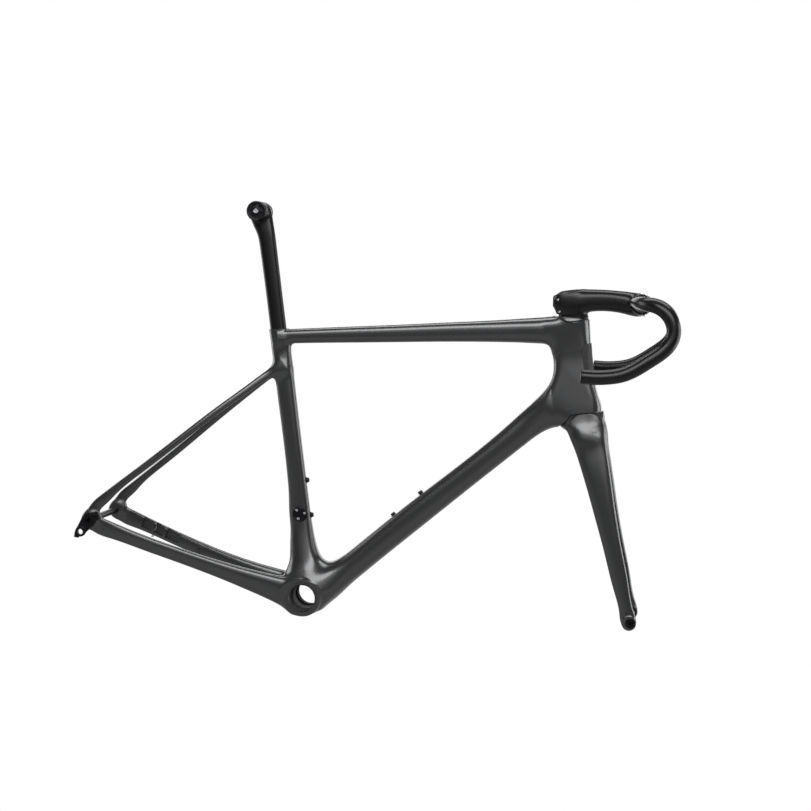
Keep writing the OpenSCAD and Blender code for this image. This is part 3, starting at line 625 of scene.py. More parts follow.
def spread(tree, mask, low, high):
    node = tree.nodes.new("ShaderNodeMapRange")
    node.inputs["To Min"].default_value = low
    node.inputs["To Max"].default_value = high
    tree.links.new(mask, node.inputs["Value"])
    return node.outputs[0]


def bump(tree, shader, height, distance, strength):
    node = tree.nodes.new("ShaderNodeBump")
    node.inputs["Distance"].default_value = distance
    node.inputs["Strength"].default_value = strength
    tree.links.new(height, node.inputs["Height"])
    tree.links.new(node.outputs[0], shader.inputs["Normal"])


def graphite_lacquer(colours):
    """Satin metallic lacquer over the moulded frame and fork."""
    material, tree, shader = blank_finish("graphite_lacquer", 0.5, 0.6, 0.2)
    grain = use(tree, "flake")
    dust = use(tree, "dust", Patch_size=9.0, Amount=0.35)
    base = tuple(colours.graphite)
    flaked = tint(tree, math_node(tree, "MULTIPLY", grain.outputs["Flake"], 0.5), base, tuple(c * 1.8 for c in base))
    tree.links.new(flaked, shader.inputs["Base Color"])
    tree.links.new(spread(tree, dust.outputs["Mask"], 0.28, 0.38), shader.inputs["Roughness"])
    bump(tree, shader, grain.outputs["Height"], 0.00001, 0.1)
    return material


def black_carbon(colours):
    """Satin black lacquer with the twill just showing through."""
    material, tree, shader = blank_finish("black_carbon", 0.0, 0.0, 0.3, 0.24)
    cloth = use(tree, "weave")
    dust = use(tree, "dust", Patch_size=22.0, Amount=0.4)
    base = tuple(colours.black)
    threads = tint(tree, math_node(tree, "MULTIPLY", cloth.outputs["Thread"], 0.6), base, tuple(c * 1.5 for c in base))
    colour = tint(tree, math_node(tree, "MULTIPLY", dust.outputs["Mask"], 0.05), threads, (0.06, 0.06, 0.065))
    tree.links.new(colour, shader.inputs["Base Color"])
    tree.links.new(spread(tree, dust.outputs["Mask"], 0.26, 0.36), shader.inputs["Roughness"])
    bump(tree, shader, cloth.outputs["Height"], 0.00001, 0.03)
    return material


def metal(name, base, rubbed, rough, wear=0.5, fineness=900.0, grain=0.2):
    """Bare or anodised metal with tool marks, and edges rubbed bright."""
    material, tree, shader = blank_finish(name, 1.0)
    marks = use(tree, "marks", Fineness=fineness)
    worn = use(tree, "wear", Amount=wear)
    shade = tint(tree, marks.outputs["Mask"], tuple(c * 0.85 for c in base), tuple(min(c * 1.15, 1) for c in base))
    tree.links.new(tint(tree, worn.outputs["Mask"], shade, rubbed), shader.inputs["Base Color"])
    tree.links.new(spread(tree, marks.outputs["Mask"], rough * 0.8, rough * 1.25), shader.inputs["Roughness"])
    bump(tree, shader, marks.outputs["Mask"], 0.00002, grain)
    return material


def moulded_rubber(colours):
    material, tree, shader = blank_finish("moulded_rubber", 0.0, specular=0.3)
    dust = use(tree, "dust", Patch_size=60.0, Amount=0.6)
    grain = use(tree, "flake", Flake_size=1500.0, Peel_size=400.0)
    colour = tint(tree, dust.outputs["Mask"], tuple(colours.black), (0.045, 0.045, 0.047))
    tree.links.new(colour, shader.inputs["Base Color"])
    tree.links.new(spread(tree, dust.outputs["Mask"], 0.6, 0.8), shader.inputs["Roughness"])
    bump(tree, shader, grain.outputs["Height"], 0.00005, 0.3)
    return material


FINISH = {}


def finish(name):
    """The finish of that name, made the first time it is asked for."""
    if name not in FINISH:
        colours = bpy.context.scene.frameset_colours
        bare, bright = tuple(colours.alloy), tuple(min(c * 4, 1) for c in colours.alloy)
        makers = {
            "graphite": lambda: graphite_lacquer(colours),
            "carbon": lambda: black_carbon(colours),
            "black_alloy": lambda: metal(
                "black_anodised_alloy", (0.02, 0.02, 0.022), (0.12, 0.12, 0.125), 0.34, 0.2, grain=0.05
            ),
            "alloy": lambda: metal("machined_alloy", bare, bright, 0.3, 0.3),
            "steel": lambda: metal("bright_steel", (0.62, 0.63, 0.65), (0.85, 0.85, 0.86), 0.24, 0.3, 1400.0, 0.04),
            "rubber": lambda: moulded_rubber(colours),
        }
        FINISH[name] = makers[name]()
    return FINISH[name]


SLOT_FINISH = {
    "frame_paint": "graphite", "black_carbon": "carbon", "black_alloy": "black_alloy",
    "raw_alloy": "alloy", "fastener_steel": "steel", "grommet_rubber": "rubber",
}


# ---------------------------------------------------------------- sizes and colours that a user may change
class FramesetSizes(bpy.types.PropertyGroup):
    cell: FloatProperty(
        name="Mesh size", description="Size of the faces on the moulded shells", default=1.6, min=1.4, max=6.0
    )
    fillet: FloatProperty(
        name="Tube fillet", description="How softly the tubes flow into each other, in millimetres",
        default=34.0, min=10, max=60,
    )
    seam: FloatProperty(
        name="Seam", description="Half the gap between frame, fork and top cover, in millimetres",
        default=0.8, min=0.2, max=1.0,
    )
    lift: FloatProperty(
        name="Floor drop", description="Floor below the bottom bracket",
        default=0.267, min=0.2, max=0.6, subtype="DISTANCE",
    )


class FramesetColours(bpy.types.PropertyGroup):
    graphite: FloatVectorProperty(
        name="Graphite", description="Lacquer on the frame and fork",
        default=(0.030, 0.0305, 0.032), subtype="COLOR", min=0, max=1,
    )
    black: FloatVectorProperty(
        name="Black", description="Carbon of the cockpit and seatpost",
        default=(0.004, 0.004, 0.0043), subtype="COLOR", min=0, max=1,
    )
    alloy: FloatVectorProperty(
        name="Bare alloy", description="Bottom bracket sleeve",
        default=(0.07, 0.07, 0.073), subtype="COLOR", min=0, max=1,
    )


# ---------------------------------------------------------------- the moulded frame
CHAIN = Line((REAR_AXLE[0], REAR_AXLE[2]), slope(-10.9))
STAY = Line((REAR_AXLE[0], REAR_AXLE[2]), slope(46.55))
LEG = Line((FRONT_AXLE[0], FRONT_AXLE[2]), (-0.3848, 0.923))
STEM = Line((384, 606), slope(6.3))

HEAD_ROWS = [
    (-6, 34, -28.6, 69, 2.4), (0, 36, -28.2, 68, 2.4), (20, 42, -27.3, 65, 2.5), (50, 43, -25, 61, 2.5),
    (82, 43.5, -24.6, 57, 2.6), (115, 43, -25.2, 55, 2.6), (142, 38, -27, 57, 2.5), (161.5, 31, -28.2, 59, 2.4),
    (170, 31, -28.4, 59, 2.3),
]
HEAD_HALF = [
    (-20, 33.5), (0, 32), (20, 30.4), (40, 28.8), (60, 27.4), (82, 26.1), (102, 25.2), (122, 25), (142, 26.2),
    (162, 28.8), (180, 31),
]
TOP_ROWS = [
    (-130, 13, -13.2, 27, 2.7), (-92, 13.4, -13.4, 27.5, 2.7), (0, 14, -15.2, 29, 2.8), (92, 14.5, -17.2, 31, 2.8),
    (182, 15.6, -19.3, 34, 2.8), (272, 16.8, -22.8, 39, 2.7), (310, 18, -25, 43, 2.6), (335, 18.8, -27, 49, 2.6),
    (362, 19.9, -29, 55, 2.6), (398, 21.7, -31, 55, 2.6), (412, 22, -31, 42, 2.6),
]
DOWN_ROWS = [
    (10, 18, -34.8, 76, 2.6), (50, 15, -35.2, 68, 2.6), (138, 13.4, -34.2, 57, 2.6), (234, 13.9, -33.7, 51, 2.7),
    (310, 12.6, -33.5, 48, 2.7), (396, 11, -33.5, 46.5, 2.7), (485, 13, -34, 47, 2.7), (518, 15, -35.2, 48.5, 2.7),
    (540, 16.2, -40, 53, 2.6), (558, 17.8, -47.5, 57, 2.6), (588, 21, -55.5, 60, 2.6), (608, 23, -58.5, 57, 2.6),
    (625, 25, -60, 44, 2.6),
]
SEAT_ROWS = [
    (15, 56, -30, 74, 2.5), (39, 46, -27, 62, 2.5), (53, 37.8, -24.5, 55, 2.5), (67, 31.6, -22.5, 49.5, 2.5),
    (82, 28.6, -21, 45, 2.5), (107, 25.4, -19, 37, 2.5), (126, 22.9, -18, 31.5, 2.5), (155, 21.8, -17.2, 26.5, 2.5),
    (185, 18.9, -17, 25, 2.5), (225, 17, -16.8, 25, 2.5), (375, 17, -17, 25, 2.5), (445, 17.3, -17.5, 25.5, 2.5),
    (506, 18, -17.7, 26, 2.5),
]
CHAIN_ROWS = [
    (-9, 8, -8, 7.4, 2.4, 75), (6, 11, -15, 7.6, 2.6, 75), (22, 11.5, -19.2, 7.6, 2.8, 75),
    (45, 10.5, -18.8, 10, 2.8, 73), (110, 8.4, -17.8, 14, 2.8, 64),
    (170, 8.6, -17.7, 15, 2.8, 54), (210, 9.6, -17.9, 16, 2.8, 47.5), (260, 12.5, -19, 18, 2.7, 40),
    (306, 17, -21, 20, 2.6, 34.5), (343, 22, -22.8, 22, 2.6, 31.5), (400, 30, -27.5, 24, 2.5, 30),
]
STAY_ROWS = [
    (-6, 11, -9, 7.4, 2.4, 75), (12, 19, -3, 7.6, 2.4, 75), (27, 23, 3, 7.6, 2.5, 75), (42, 23.7, 4.7, 8, 2.6, 75),
    (68, 23.9, 8.4, 9, 2.5, 72.5), (133, 24, 11, 10, 2.4, 64.5),
    (224, 25.3, 12.7, 10, 2.4, 52), (313, 26.7, 14.1, 10.5, 2.4, 35.5), (378, 26.6, 13.6, 11, 2.4, 19.5),
    (414, 26.7, 11.7, 11.5, 2.4, 10.5), (445, 24, 5, 12, 2.4, 5),
]
DROP_T = 8.0                # dropout thickness
SHELL_R = 34.0              # bottom bracket shell, outside
HEAD_BLEND = 14.0           # how softly the head tube's side is trimmed to its width
REAR_TYRE = (349.0, 16.5)   # room for the tyre: radius and half its width
FRONT_TYRE = (347.0, 22.0)
FRAME_SPLIT = 100.0         # the moulding's front and middle pieces meet here, ahead of the bottom bracket
TAIL_SPLIT = 19.5           # the stays' piece starts this far behind the seat tube's middle line
STAY_POCKETS = ((58, 80, 3.6), (86, 104, 4.6), (110, 140, 4.2))  # start, end and depth of each
CROWN_SEAM = ((38, 0), (48, -17), (60, -38))                     # seams turned about the steerer: radius, height
COVER_SEAM = ((28.6, 0), (36.6, 14))
BEARING_SEAT = (26.0, 8.2, 8.4)                                  # radius, lower depth and upper depth
MOUNT_COVER = across(*SEAT.point(151.5, -0.6)[[0, 2]])
COVER_TURN, COVER_SCREW_R = 0.35, 9.0                            # its three screws: first angle, circle radius


def frame_field(sizes):
    head, top, down, seat = (
        Strut(STEER, HEAD_ROWS), Strut(TOP, TOP_ROWS), Strut(DOWN, DOWN_ROWS), Strut(SEAT, SEAT_ROWS),
    )
    chain, stay = Strut(CHAIN, CHAIN_ROWS), Strut(STAY, STAY_ROWS)
    envelope_at, envelope = spline([r[0] for r in HEAD_HALF], [r[1:] for r in HEAD_HALF])
    drop_y = DROP_INNER + DROP_T / 2

    def field(p):
        side = p.copy()
        side[:, 1] = np.abs(side[:, 1])
        below_cover = 0.2 + 0.8 * np.clip((152 - STEER.local(p)[0]) / 40, 0, 1)
        outer = sizes.fillet * (1 + 0.6 * np.clip(side[:, 1] / 22, 0, 1)) * below_cover
        low, high = np.clip((230 - p[:, 2]) / 120, 0, 1), np.clip((p[:, 2] - 425) / 45, 0, 1)
        core = join(join(top(p), head(p), outer), down(p), outer)
        h, n = STEER.local(p)
        half = np.interp(h, envelope_at, envelope[:, 0]) + 0.45 * np.maximum(n - 52, 0) + np.maximum(-20 - h, 0)
        core = carve(core, half - side[:, 1], HEAD_BLEND)
        core = join(core, seat(p), sizes.fillet * (0.8 + 1.3 * low) * (1 - 0.9 * high))
        rim = 1 - 0.8 * np.clip((side[:, 1] - 28) / 10, 0, 1)
        core = join(core, drum(p, 0, 0, SHELL_R, SHELL_HALF, edge=3.5), sizes.fillet * 0.8 * rim)
        tail = join(chain(side), stay(side), 22)
        tail = join(tail, drum(side, REAR_AXLE[0], REAR_AXLE[2], 13, DROP_T / 2, drop_y, 1.2), 12)
        whole = join(core, tail, sizes.fillet * 0.7)
        return carve(whole, drum(p, REAR_AXLE[0], REAR_AXLE[2], *REAR_TYRE), 8)

    return field


def seam_turning(name, profile, along=0.0):
    return turned(name, profile, STEER.place(along), 160)


def rod(name, radius, low, high, place, segments=72):
    return turned(name, [(0, low), (radius, low), (radius, high), (0, high)], place, segments)


def cut_frame(shell, sizes):
    gap = sizes.seam
    crown = [(0, gap), *((r, h + gap) for r, h in CROWN_SEAM), (60, -70), (0, -70)]
    cover = [(0, -gap), *((r, h - gap) for r, h in COVER_SEAM), (36.6, 60), (0, 60)]
    cut(shell, [seam_turning("crown_cut", crown)])
    cut(shell, [seam_turning("cover_cut", cover, HEAD_LENGTH)])
    cut(shell, [rod("steerer_bore", 21, -20, HEAD_LENGTH + 20, STEER.place())])
    seat_r, lower, upper = BEARING_SEAT
    cut(shell, [rod("lower_seat", seat_r, -2, lower, STEER.place())])
    cut(shell, [rod("upper_seat", seat_r, HEAD_LENGTH - upper, HEAD_LENGTH + 2, STEER.place())])
    mouth = [(-x - 1.2, y) for x, y in oval(15.9, 10.5, 2.5, 72)]
    cut(shell, [prism("post_hole", mouth, 200, 560, SEAT.place())])
    collar = Matrix.Translation((-130, 0, 469.6)) @ Matrix.Rotation(math.radians(-11.5), 4, "Y")
    cut(shell, [block("collar_cut", (-40, -30, 0), (21, 30, 60), collar)])
    for side in (-1, 1):
        cut(shell, [block("shell_face", (-60, SHELL_HALF, -60), (60, SHELL_HALF + 40, 60),
                          Matrix.Diagonal((1, side, 1, 1)))])
    cut(shell, [rod("bracket_bore", BORE_R + 2, -80, 80, across(0, 0), 120)])
    cut(shell, [rod("axle_bore", AXLE_R + 0.1, -100, 100, across(REAR_AXLE[0], REAR_AXLE[2]))])
    cut(shell, [rod("cover_recess", 14.2, 10.9, 60, MOUNT_COVER)])
    cut(shell, [prism("cable_port", oval(7.5, 3.2, 2.2, 48), 0, 10, row_place(SEAT, 112, 14.5, 1))])
    chain = Strut(CHAIN, CHAIN_ROWS)
    for start, end, depth in STAY_POCKETS:
        inner = [chain.at(s)[4] - chain.at(s)[2] / 2 for s in (start, end)]
        outline = [
            (start, inner[0] - 4), (end, inner[1] - 4), (end, inner[1] + depth * 0.5), (start, inner[0] + depth),
        ]
        cut(shell, [prism("stay_pocket", outline, -11, 20, row_place(CHAIN, 0, 0, 1))])


def build_frame(sizes):
    """One moulding in three pieces, the thin stays in smaller faces than the tubes."""
    field = frame_field(sizes)
    seat = SEAT.place()
    pieces = (
        ("frame_shell_front", (FRAME_SPLIT - 14, -44, 30), (455, 44, 590), sizes.cell,
         ["head_tube", "top_tube", "down_tube"]),
        ("frame_shell_middle", (-190, -50, -40), (FRAME_SPLIT + 14, 50, 520), sizes.cell, ["seat_tube", "bb_shell"]),
        ("frame_shell_stays", (-425, -88, -38), (26, 88, 490), sizes.cell * 0.8,
         ["chainstay_right", "chainstay_left", "seatstay_right", "seatstay_left", "dropout_right", "dropout_left"]),
    )
    for name, low, high, cell, nodes in pieces:
        shell = make_object(name, *solid_mesh(field, low, high, cell), finish("graphite"))
        cut_frame(shell, sizes)
        if name != "frame_shell_front":
            cut(shell, [block("front", (FRAME_SPLIT, -150, -100), (600, 150, 700))])
        else:
            cut(shell, [block("middle", (-500, -150, -100), (FRAME_SPLIT, 150, 700))])
        if name == "frame_shell_stays":
            cut(shell, [block("middle", (-TAIL_SPLIT, -150, -200), (700, 150, 700), seat)])
        else:
            cut(shell, [block("stays", (-700, -150, -200), (-TAIL_SPLIT, 150, 700), seat)])
        polish(shell, field)
        finished(shell, "frame", nodes, sharp=None)


CROWN_ROWS = [
    (-78, 14, -24, 44, 2.4), (-60, 18, -29, 64, 2.4), (-50, 21, -32, 76, 2.4), (-42, 24, -33, 80, 2.4),
    (-34, 27, -32.5, 79, 2.4), (-27, 32.5, -31.6, 75, 2.4), (-19, 43, -30.4, 69, 2.4),
    (-11, 43.5, -29.3, 65, 2.4), (-2, 39, -28.4, 62, 2.4), (8, 38, -28, 60, 2.4),
]
LEG_ROWS = [
    (-9, 9, -5, 10.2, 2.4, 55.6), (0, 14.5, -9.8, 11, 2.5, 55.5), (20, 15, -10.2, 11, 2.5, 55.3),
    (65, 15.8, -11.6, 11.5, 2.5, 54),
    (125, 17.3, -13.8, 12.8, 2.5, 52), (190, 19.9, -17.1, 15, 2.5, 49), (248, 23, -22, 17.5, 2.5, 45),
    (305, 27.4, -26, 19, 2.5, 38.5), (333, 30.2, -27.6, 19.5, 2.4, 32.5), (355, 33, -29, 19, 2.4, 25.5),
    (385, 31, -29, 18, 2.4, 19), (416, 26, -27, 16, 2.4, 13),
]


def fork_field(sizes):
    crown, leg = Strut(STEER, CROWN_ROWS), Strut(LEG, LEG_ROWS)
    tip_x, _, tip_z = LEG.point(0, 2.4)

    def field(p):
        side = p.copy()
        side[:, 1] = np.abs(side[:, 1])
        blade = join(leg(side), drum(side, tip_x, tip_z, 12.4, 5.3, 55.6), 5)
        blade = np.maximum(blade, TIP_INNER - side[:, 1] - np.clip(p[:, 2] - 160, 0, FAR))
        whole = join(crown(p), blade, sizes.fillet)
        return carve(whole, drum(p, FRONT_AXLE[0], FRONT_AXLE[2], *FRONT_TYRE), 14)

    return field


def build_fork(sizes):
    field = fork_field(sizes)
    points, faces = solid_mesh(field, (395, -75, 55), (610, 75, 440), sizes.cell * 0.85)
    shell = make_object("fork_shell", points, faces, finish("graphite"))
    gap = sizes.seam
    seam = [(0, -gap), *((r - gap, h - gap) for r, h in CROWN_SEAM), (80, -38 - gap), (80, 50), (0, 50)]
    cut(shell, [seam_turning("seam_cut", seam)])
    cut(shell, [rod("steerer_hole", STEERER_R, -60, 20, STEER.place())])
    cut(shell, [rod("axle_hole", 9, -90, 90, across(FRONT_AXLE[0], FRONT_AXLE[2]))])
    cut(shell, [rod("tip_hole", 1.9, 57, 80, across(574.6, 89.3), 32)])
    polish(shell, field)
    return finished(shell, "fork", ["fork_crown", "fork_leg_right", "fork_leg_left"], sharp=None)


# ---------------------------------------------------------------- cockpit
STEM_ROWS = [
    (-31, 6, -10, 34, 2.6), (-22, 15.4, -20, 42, 2.8), (-4, 20.2, -22, 46.5, 2.8), (13, 22.8, -20, 46.5, 2.8),
    (30, 24, -16.5, 45, 2.8), (50, 24.6, -13.6, 43, 2.8), (68, 24.5, -13.2, 43, 2.8), (85, 24, -14.6, 46, 2.8),
    (103, 22.8, -17.8, 48, 2.6), (116, 20, -18.2, 46, 2.4), (126, 16, -15, 42, 2.2),
]
COLUMN_ROWS = [
    (158, 28, -29, 44, 2.5), (168, 28, -26.5, 44, 2.6), (178, 28.4, -22, 44.5, 2.9), (192, 29, -21.5, 45, 3.2),
    (211, 28.6, -22, 45, 3.2),
]
BAR_AT = (506, 622)
SPACER_T = 3.5
PINCH_HEIGHT, PINCH_STEP, PINCH_BACK = 183, 21, 22   # lower pinch bolt up the steerer, to the next, and behind it
COVER_TOP = Matrix.Translation((392, 0, 579)) @ Matrix.Rotation(math.radians(-3.8), 4, "Y")


def bar_barrel(p, radius):
    """Round the bar, thinning outwards until it meets the bar itself."""
    thin = np.clip((np.abs(p[:, 1]) - 18) / 14, 0, 1)
    r = radius - (radius - 17.2) * thin * thin * (3 - 2 * thin)
    return capped(np.hypot(p[:, 0] - BAR_AT[0], p[:, 2] - BAR_AT[1]) - r, np.abs(p[:, 1]) - 33)


def build_stem():
    body, column = Strut(STEM, STEM_ROWS), Strut(STEER, COLUMN_ROWS)

    def field(p):
        return join(join(body(p), column(p), 14), bar_barrel(p, 19), 14)

    points, faces = solid_mesh(field, (340, -40, 565), (535, 40, 650), 1.2)
    stem = make_object("stem_body", points, faces, finish("carbon"))
    cut(stem, [block("spacer_side", (-80, -60, -60), (80, 60, SPACER_T + 0.05), COVER_TOP)])
    cut(stem, [rod("bar_bore", 15.9, -60, 60, across(*BAR_AT), 96)])
    cut(stem, [rod("steerer_bore", STEERER_R, 120, 214, STEER.place())])
    cut(stem, [rod("cap_seat", 16.6, 211, 260, STEER.place())])
    cut(stem, [block("faceplate_seam", (508.7, -60, 570), (509.3, 60, 660))])
    cut(stem, [block("clamp_split", (-30, -0.7, 165), (-12, 0.7, 240), STEER.place())])
    for height in (PINCH_HEIGHT, PINCH_HEIGHT + PINCH_STEP):
        place = Matrix.Translation(Vector(STEER.point(height, PINCH_BACK))) @ across(0, 0)
        cut(stem, [rod("bolt_hole", 3.3, 14, 60, place, 40)])
    polish(stem, field)
    return finished(stem, "fork", ["stem", "stem_faceplate"], sharp=None)


def build_top_cover(sizes):
    cover = Strut(STEER, [
        (150, 31, -28.3, 59, 2.3), (HEAD_LENGTH - 1, 31, -28.2, 58.5, 2.3), (HEAD_LENGTH + 6, 33.5, -27.6, 55, 2.3),
        (HEAD_LENGTH + 15, 35, -26, 46, 2.3), (HEAD_LENGTH + 26, 36, -24, 40, 2.3),
    ])
    points, faces = solid_mesh(cover, (345, -36, 555), (440, 36, 615), 1.5)
    obj = make_object("top_cover", points, faces, finish("graphite"))
    gap = sizes.seam
    under = [(0, gap), *((r - gap, h + gap) for r, h in COVER_SEAM), (44, 27.5), (60, 27.5), (60, -30), (0, -30)]
    cut(obj, [seam_turning("under_cover", under, HEAD_LENGTH)])
    cut(obj, [block("cover_top", (-80, -60, 0), (80, 60, 90), COVER_TOP)])
    cut(obj, [rod("steerer_bore", STEERER_R, 100, 260, STEER.place())])
    polish(obj, cover)
    finished(obj, "fork", ["headset_cover"], sharp=None)
    outline = [(x + 0.2, y) for x, y in oval(25.8, 21.8, 2.6, 96)]
    ring = prism("stem_spacer_ring", outline, 140, 200, STEER.place(), finish("carbon"))
    cut(ring, [block("above", (-80, -60, SPACER_T - 0.35), (80, 60, 90), COVER_TOP)])
    cut(ring, [block("below", (-80, -60, -60), (80, 60, 0.1), COVER_TOP)])
    cut(ring, [rod("steerer_bore", STEERER_R + 0.05, 100, 260, STEER.place())])
    return finished(ring, "fork", ["stem_spacer"])


BAR_ROUTE = [
    (506, 0, 622, 15.8, 15.8, 2), (506, 26, 622, 15.8, 15.8, 2), (506, 40, 622.3, 16.6, 13.8, 2),
    (506, 60, 623, 19, 11, 2.1), (507, 100, 623.6, 19.4, 10.3, 2.1), (508.5, 140, 624, 18.6, 10.2, 2.1),
    (512, 168, 624.5, 15.5, 11, 2.05), (521, 188, 624.8, 12.8, 12, 2), (536, 199, 623, 12, 12, 2),
    (552, 204, 615, 12, 12, 2), (563, 206, 602.5, 12, 12, 2), (568.5, 207, 586, 12, 12, 2),
    (566, 208.5, 568, 12, 12, 2), (555, 210, 551, 12, 12, 2), (538, 212, 534.5, 12, 12, 2),
    (517, 213.5, 516, 12, 12, 2), (497, 215, 503.5, 12, 12, 2), (476, 216, 496.5, 12, 12, 2),
    (456, 217, 492.5, 12, 12, 2), (437, 217, 490.6, 12, 12, 2),
]


def bar_rings(sides=80, steps=300):
    rows = np.array(BAR_ROUTE, float)
    at = np.concatenate([[0], np.cumsum(np.linalg.norm(np.diff(rows[:, :3], axis=0), axis=1))])
    mirrored = rows[:0:-1].copy()
    mirrored[:, 1] *= -1
    rows = np.vstack([mirrored, rows])
    at = np.concatenate([-at[:0:-1], at])
    s, v = spline(at, rows)
    pick = np.linspace(s[0], s[-1], 2 * steps + 1)
    v = np.stack([np.interp(pick, s, v[:, k]) for k in range(6)], 1)
    centre = v[:, :3]
    tangent = np.gradient(centre, axis=0)
    tangent /= np.linalg.norm(tangent, axis=1)[:, None]
    u = np.empty_like(centre)
    middle = steps
    u[middle] = (1, 0, 0)
    for order in (range(middle + 1, 2 * steps + 1), range(middle - 1, -1, -1)):
        before = middle
        for k in order:
            w = u[before] - (u[before] @ tangent[k]) * tangent[k]
            u[k] = w / np.linalg.norm(w)
            before = k
    rings = []
    for k in range(len(centre)):
        w = np.cross(tangent[k], u[k])
        rings.append([centre[k] + a * u[k] + b * w for a, b in oval(v[k, 3], v[k, 4], v[k, 5], sides)])
    return rings, centre, tangent


PLUG = [
    (0, -8), (9.6, -8), (9.6, 0.2), (11.9, 0.2), (12.1, 0.8), (12.0, 2.4), (10.8, 3.9), (7.6, 4.4), (7.0, 3.6),
    (0, 3.2),
]


def build_bar():
    rings, centre, tangent = bar_rings()
    bar = swept("drop_bar", rings, finish("carbon"))
    finished(bar, "fork", ["handlebar"], sharp=50)
    plugs = []
    for k in (0, -1):
        out = tangent[k] * (-1 if k == 0 else 1)
        plugs.append(turned("plug", PLUG, place_along(centre[k], out), 64, finish("black_alloy")))
    return finished(merged("bar_end_plugs_pair", plugs), "fork", ["bar_end_plugs"])


def place_along(at, direction, level=(0, 0, 1)):
    z = Vector(direction).normalized()
    x = Vector(level).cross(z)
    return placed(x.normalized() if x.length > 1e-6 else (1, 0, 0), z, at)


def merged(name, objects):
    work = bmesh.new()
    materials = []
    for o in objects:
        offset = len(work.faces)
        work.from_mesh(o.data)
        work.faces.ensure_lookup_table()
        for material in o.data.materials:
            if material not in materials:
                materials.append(material)
        index = materials.index(o.data.materials[0]) if o.data.materials else 0
        for f in work.faces[offset:]:
            f.material_index = index
    mesh = bpy.data.meshes.new(name)
    work.to_mesh(mesh)
    work.free()
    for material in materials:
        mesh.materials.append(material)
    obj = bpy.data.objects.new(name, mesh)
    bpy.context.scene.collection.objects.link(obj)
    for o in objects:
        bpy.data.objects.remove(o)
    return obj


# ---------------------------------------------------------------- seatpost and rail clamp
POST_ROWS = [
    (372, 16.5, -14.1, 20, 2.5), (640, 16.5, -14.1, 20, 2.5), (666, 19, -13.9, 20, 2.5), (685, 25, -13.2, 19.5, 2.4),
    (700, 27, -12.4, 19, 2.4), (713, 24, -9.5, 18, 2.3),
]
BARREL_R = 8.0
RAIL_Y = mm(mount("saddle_rail_left")["pos_m"])[1]
RAIL_UP = mm(mount("saddle_rail_left")["pos_m"])[2] - CLAMP_AT[2]


def build_seatpost():
    shaft = Strut(SEAT, POST_ROWS)

    def field(p):
        return join(shaft(p), drum(p, CLAMP_AT[0], CLAMP_AT[2], 17, 9), 8)

    points, faces = solid_mesh(field, (-232, -13, 345), (-80, 13, 700), 1.4)
    post = make_object("seatpost_shell", points, faces, finish("carbon"))
    cut(post, [rod("barrel_bore", BARREL_R + 0.1, -40, 40, across(CLAMP_AT[0], CLAMP_AT[2]))])
    polish(post, field)
    return finished(post, "seatpost", ["seatpost"], sharp=None)


def rounded_disc(inner, outer, low, high, edge):
    """Profile of a flat ring with softened rims."""
    e = edge * 0.3
    return [
        (inner, low + e), (inner + e, low), (outer - edge, low), (outer - e, low + e), (outer, low + edge),
        (outer, high - edge), (outer - e, high - e), (outer - edge, high), (inner + e, high), (inner, high - e),
    ]


def build_rail_clamp():
    x, _, z = CLAMP_AT
    grooves = lambda: [
        rod("groove", 3.5, -40, 40, place_along((x, y, z + RAIL_UP), (1, 0, 0)), 48) for y in (-RAIL_Y, RAIL_Y)
    ]
    cradle, jaws = [], []
    for side in (-1, 1):
        place = across(x, z, 0, side)
        disc = turned("disc", rounded_disc(3.2, 18, 10.4, RAIL_Y - 0.3, 1.2), place, 128)
        cradle.append(cut(disc, grooves()))
        jaw = turned("jaw", [
            (3.2, RAIL_Y + 0.3), (17, RAIL_Y + 0.3), (18, RAIL_Y + 1.2), (18, RAIL_Y + 5), (17.2, RAIL_Y + 6.2),
            (16, RAIL_Y + 6.5), (14.6, RAIL_Y + 6.3), (13.8, RAIL_Y + 5.6), (7, RAIL_Y + 5.2), (6.4, RAIL_Y + 5.4),
            (6, RAIL_Y + 6.4), (3.2, RAIL_Y + 6.4),
        ], place, 128)
        lobes = [
            rod("lobe", 2.9, RAIL_Y + 3.2, RAIL_Y + 9,
                across(x + 10 * math.cos(a), z + 10 * math.sin(a), 0, side), 40)
            for a in np.radians((-90, -18, 54, 126, 198))
        ]
        jaws.append(cut(jaw, grooves() + lobes))
    barrel = [(3.2, -13), (7.4, -13), (8, -12.4), (8, 12.4), (7.4, 13), (3.2, 13)]
    cradle.append(turned("barrel", barrel, across(x, z), 96))
    finished(merged("rail_cradle_pair", cradle), "rail_clamp", ["rail_cradle"], finish("black_alloy"))
    finished(merged("rail_jaw_pair", jaws), "rail_clamp", ["rail_jaws"], finish("black_alloy"))
    head = screw_shape("clamp_bolt", 4.2, 3.0, 4.0, 3.0, RAIL_Y * 2 + 13)
    head.data.transform(scaled(across(x, z, -RAIL_Y - 6.5)))
    nut = turned("nut", rounded_disc(1.2, 5.2, RAIL_Y + 6.5, RAIL_Y + 9.5, 0.5), across(x, z, 0, 1), 64)
    finished(head, "rail_clamp", ["rail_clamp_bolt"], finish("steel"))
    finished(nut, "rail_clamp", ["rail_clamp_nut"], finish("steel"))


def scaled(place):
    """A placing in millimetres, for a mesh that is already in metres."""
    m = place.copy()
    m.translation = m.translation * MM
    return m


# ---------------------------------------------------------------- repeated parts, by geometry nodes
def node_tree_with(name, sockets):
    tree = bpy.data.node_groups.new(name, "GeometryNodeTree")
    tree.interface.new_socket(name="Geometry", in_out="OUTPUT", socket_type="NodeSocketGeometry")
    for label, kind in sockets:
        tree.interface.new_socket(name=label, in_out="INPUT", socket_type=kind)
    return tree, tree.nodes.new("NodeGroupInput"), tree.nodes.new("NodeGroupOutput")


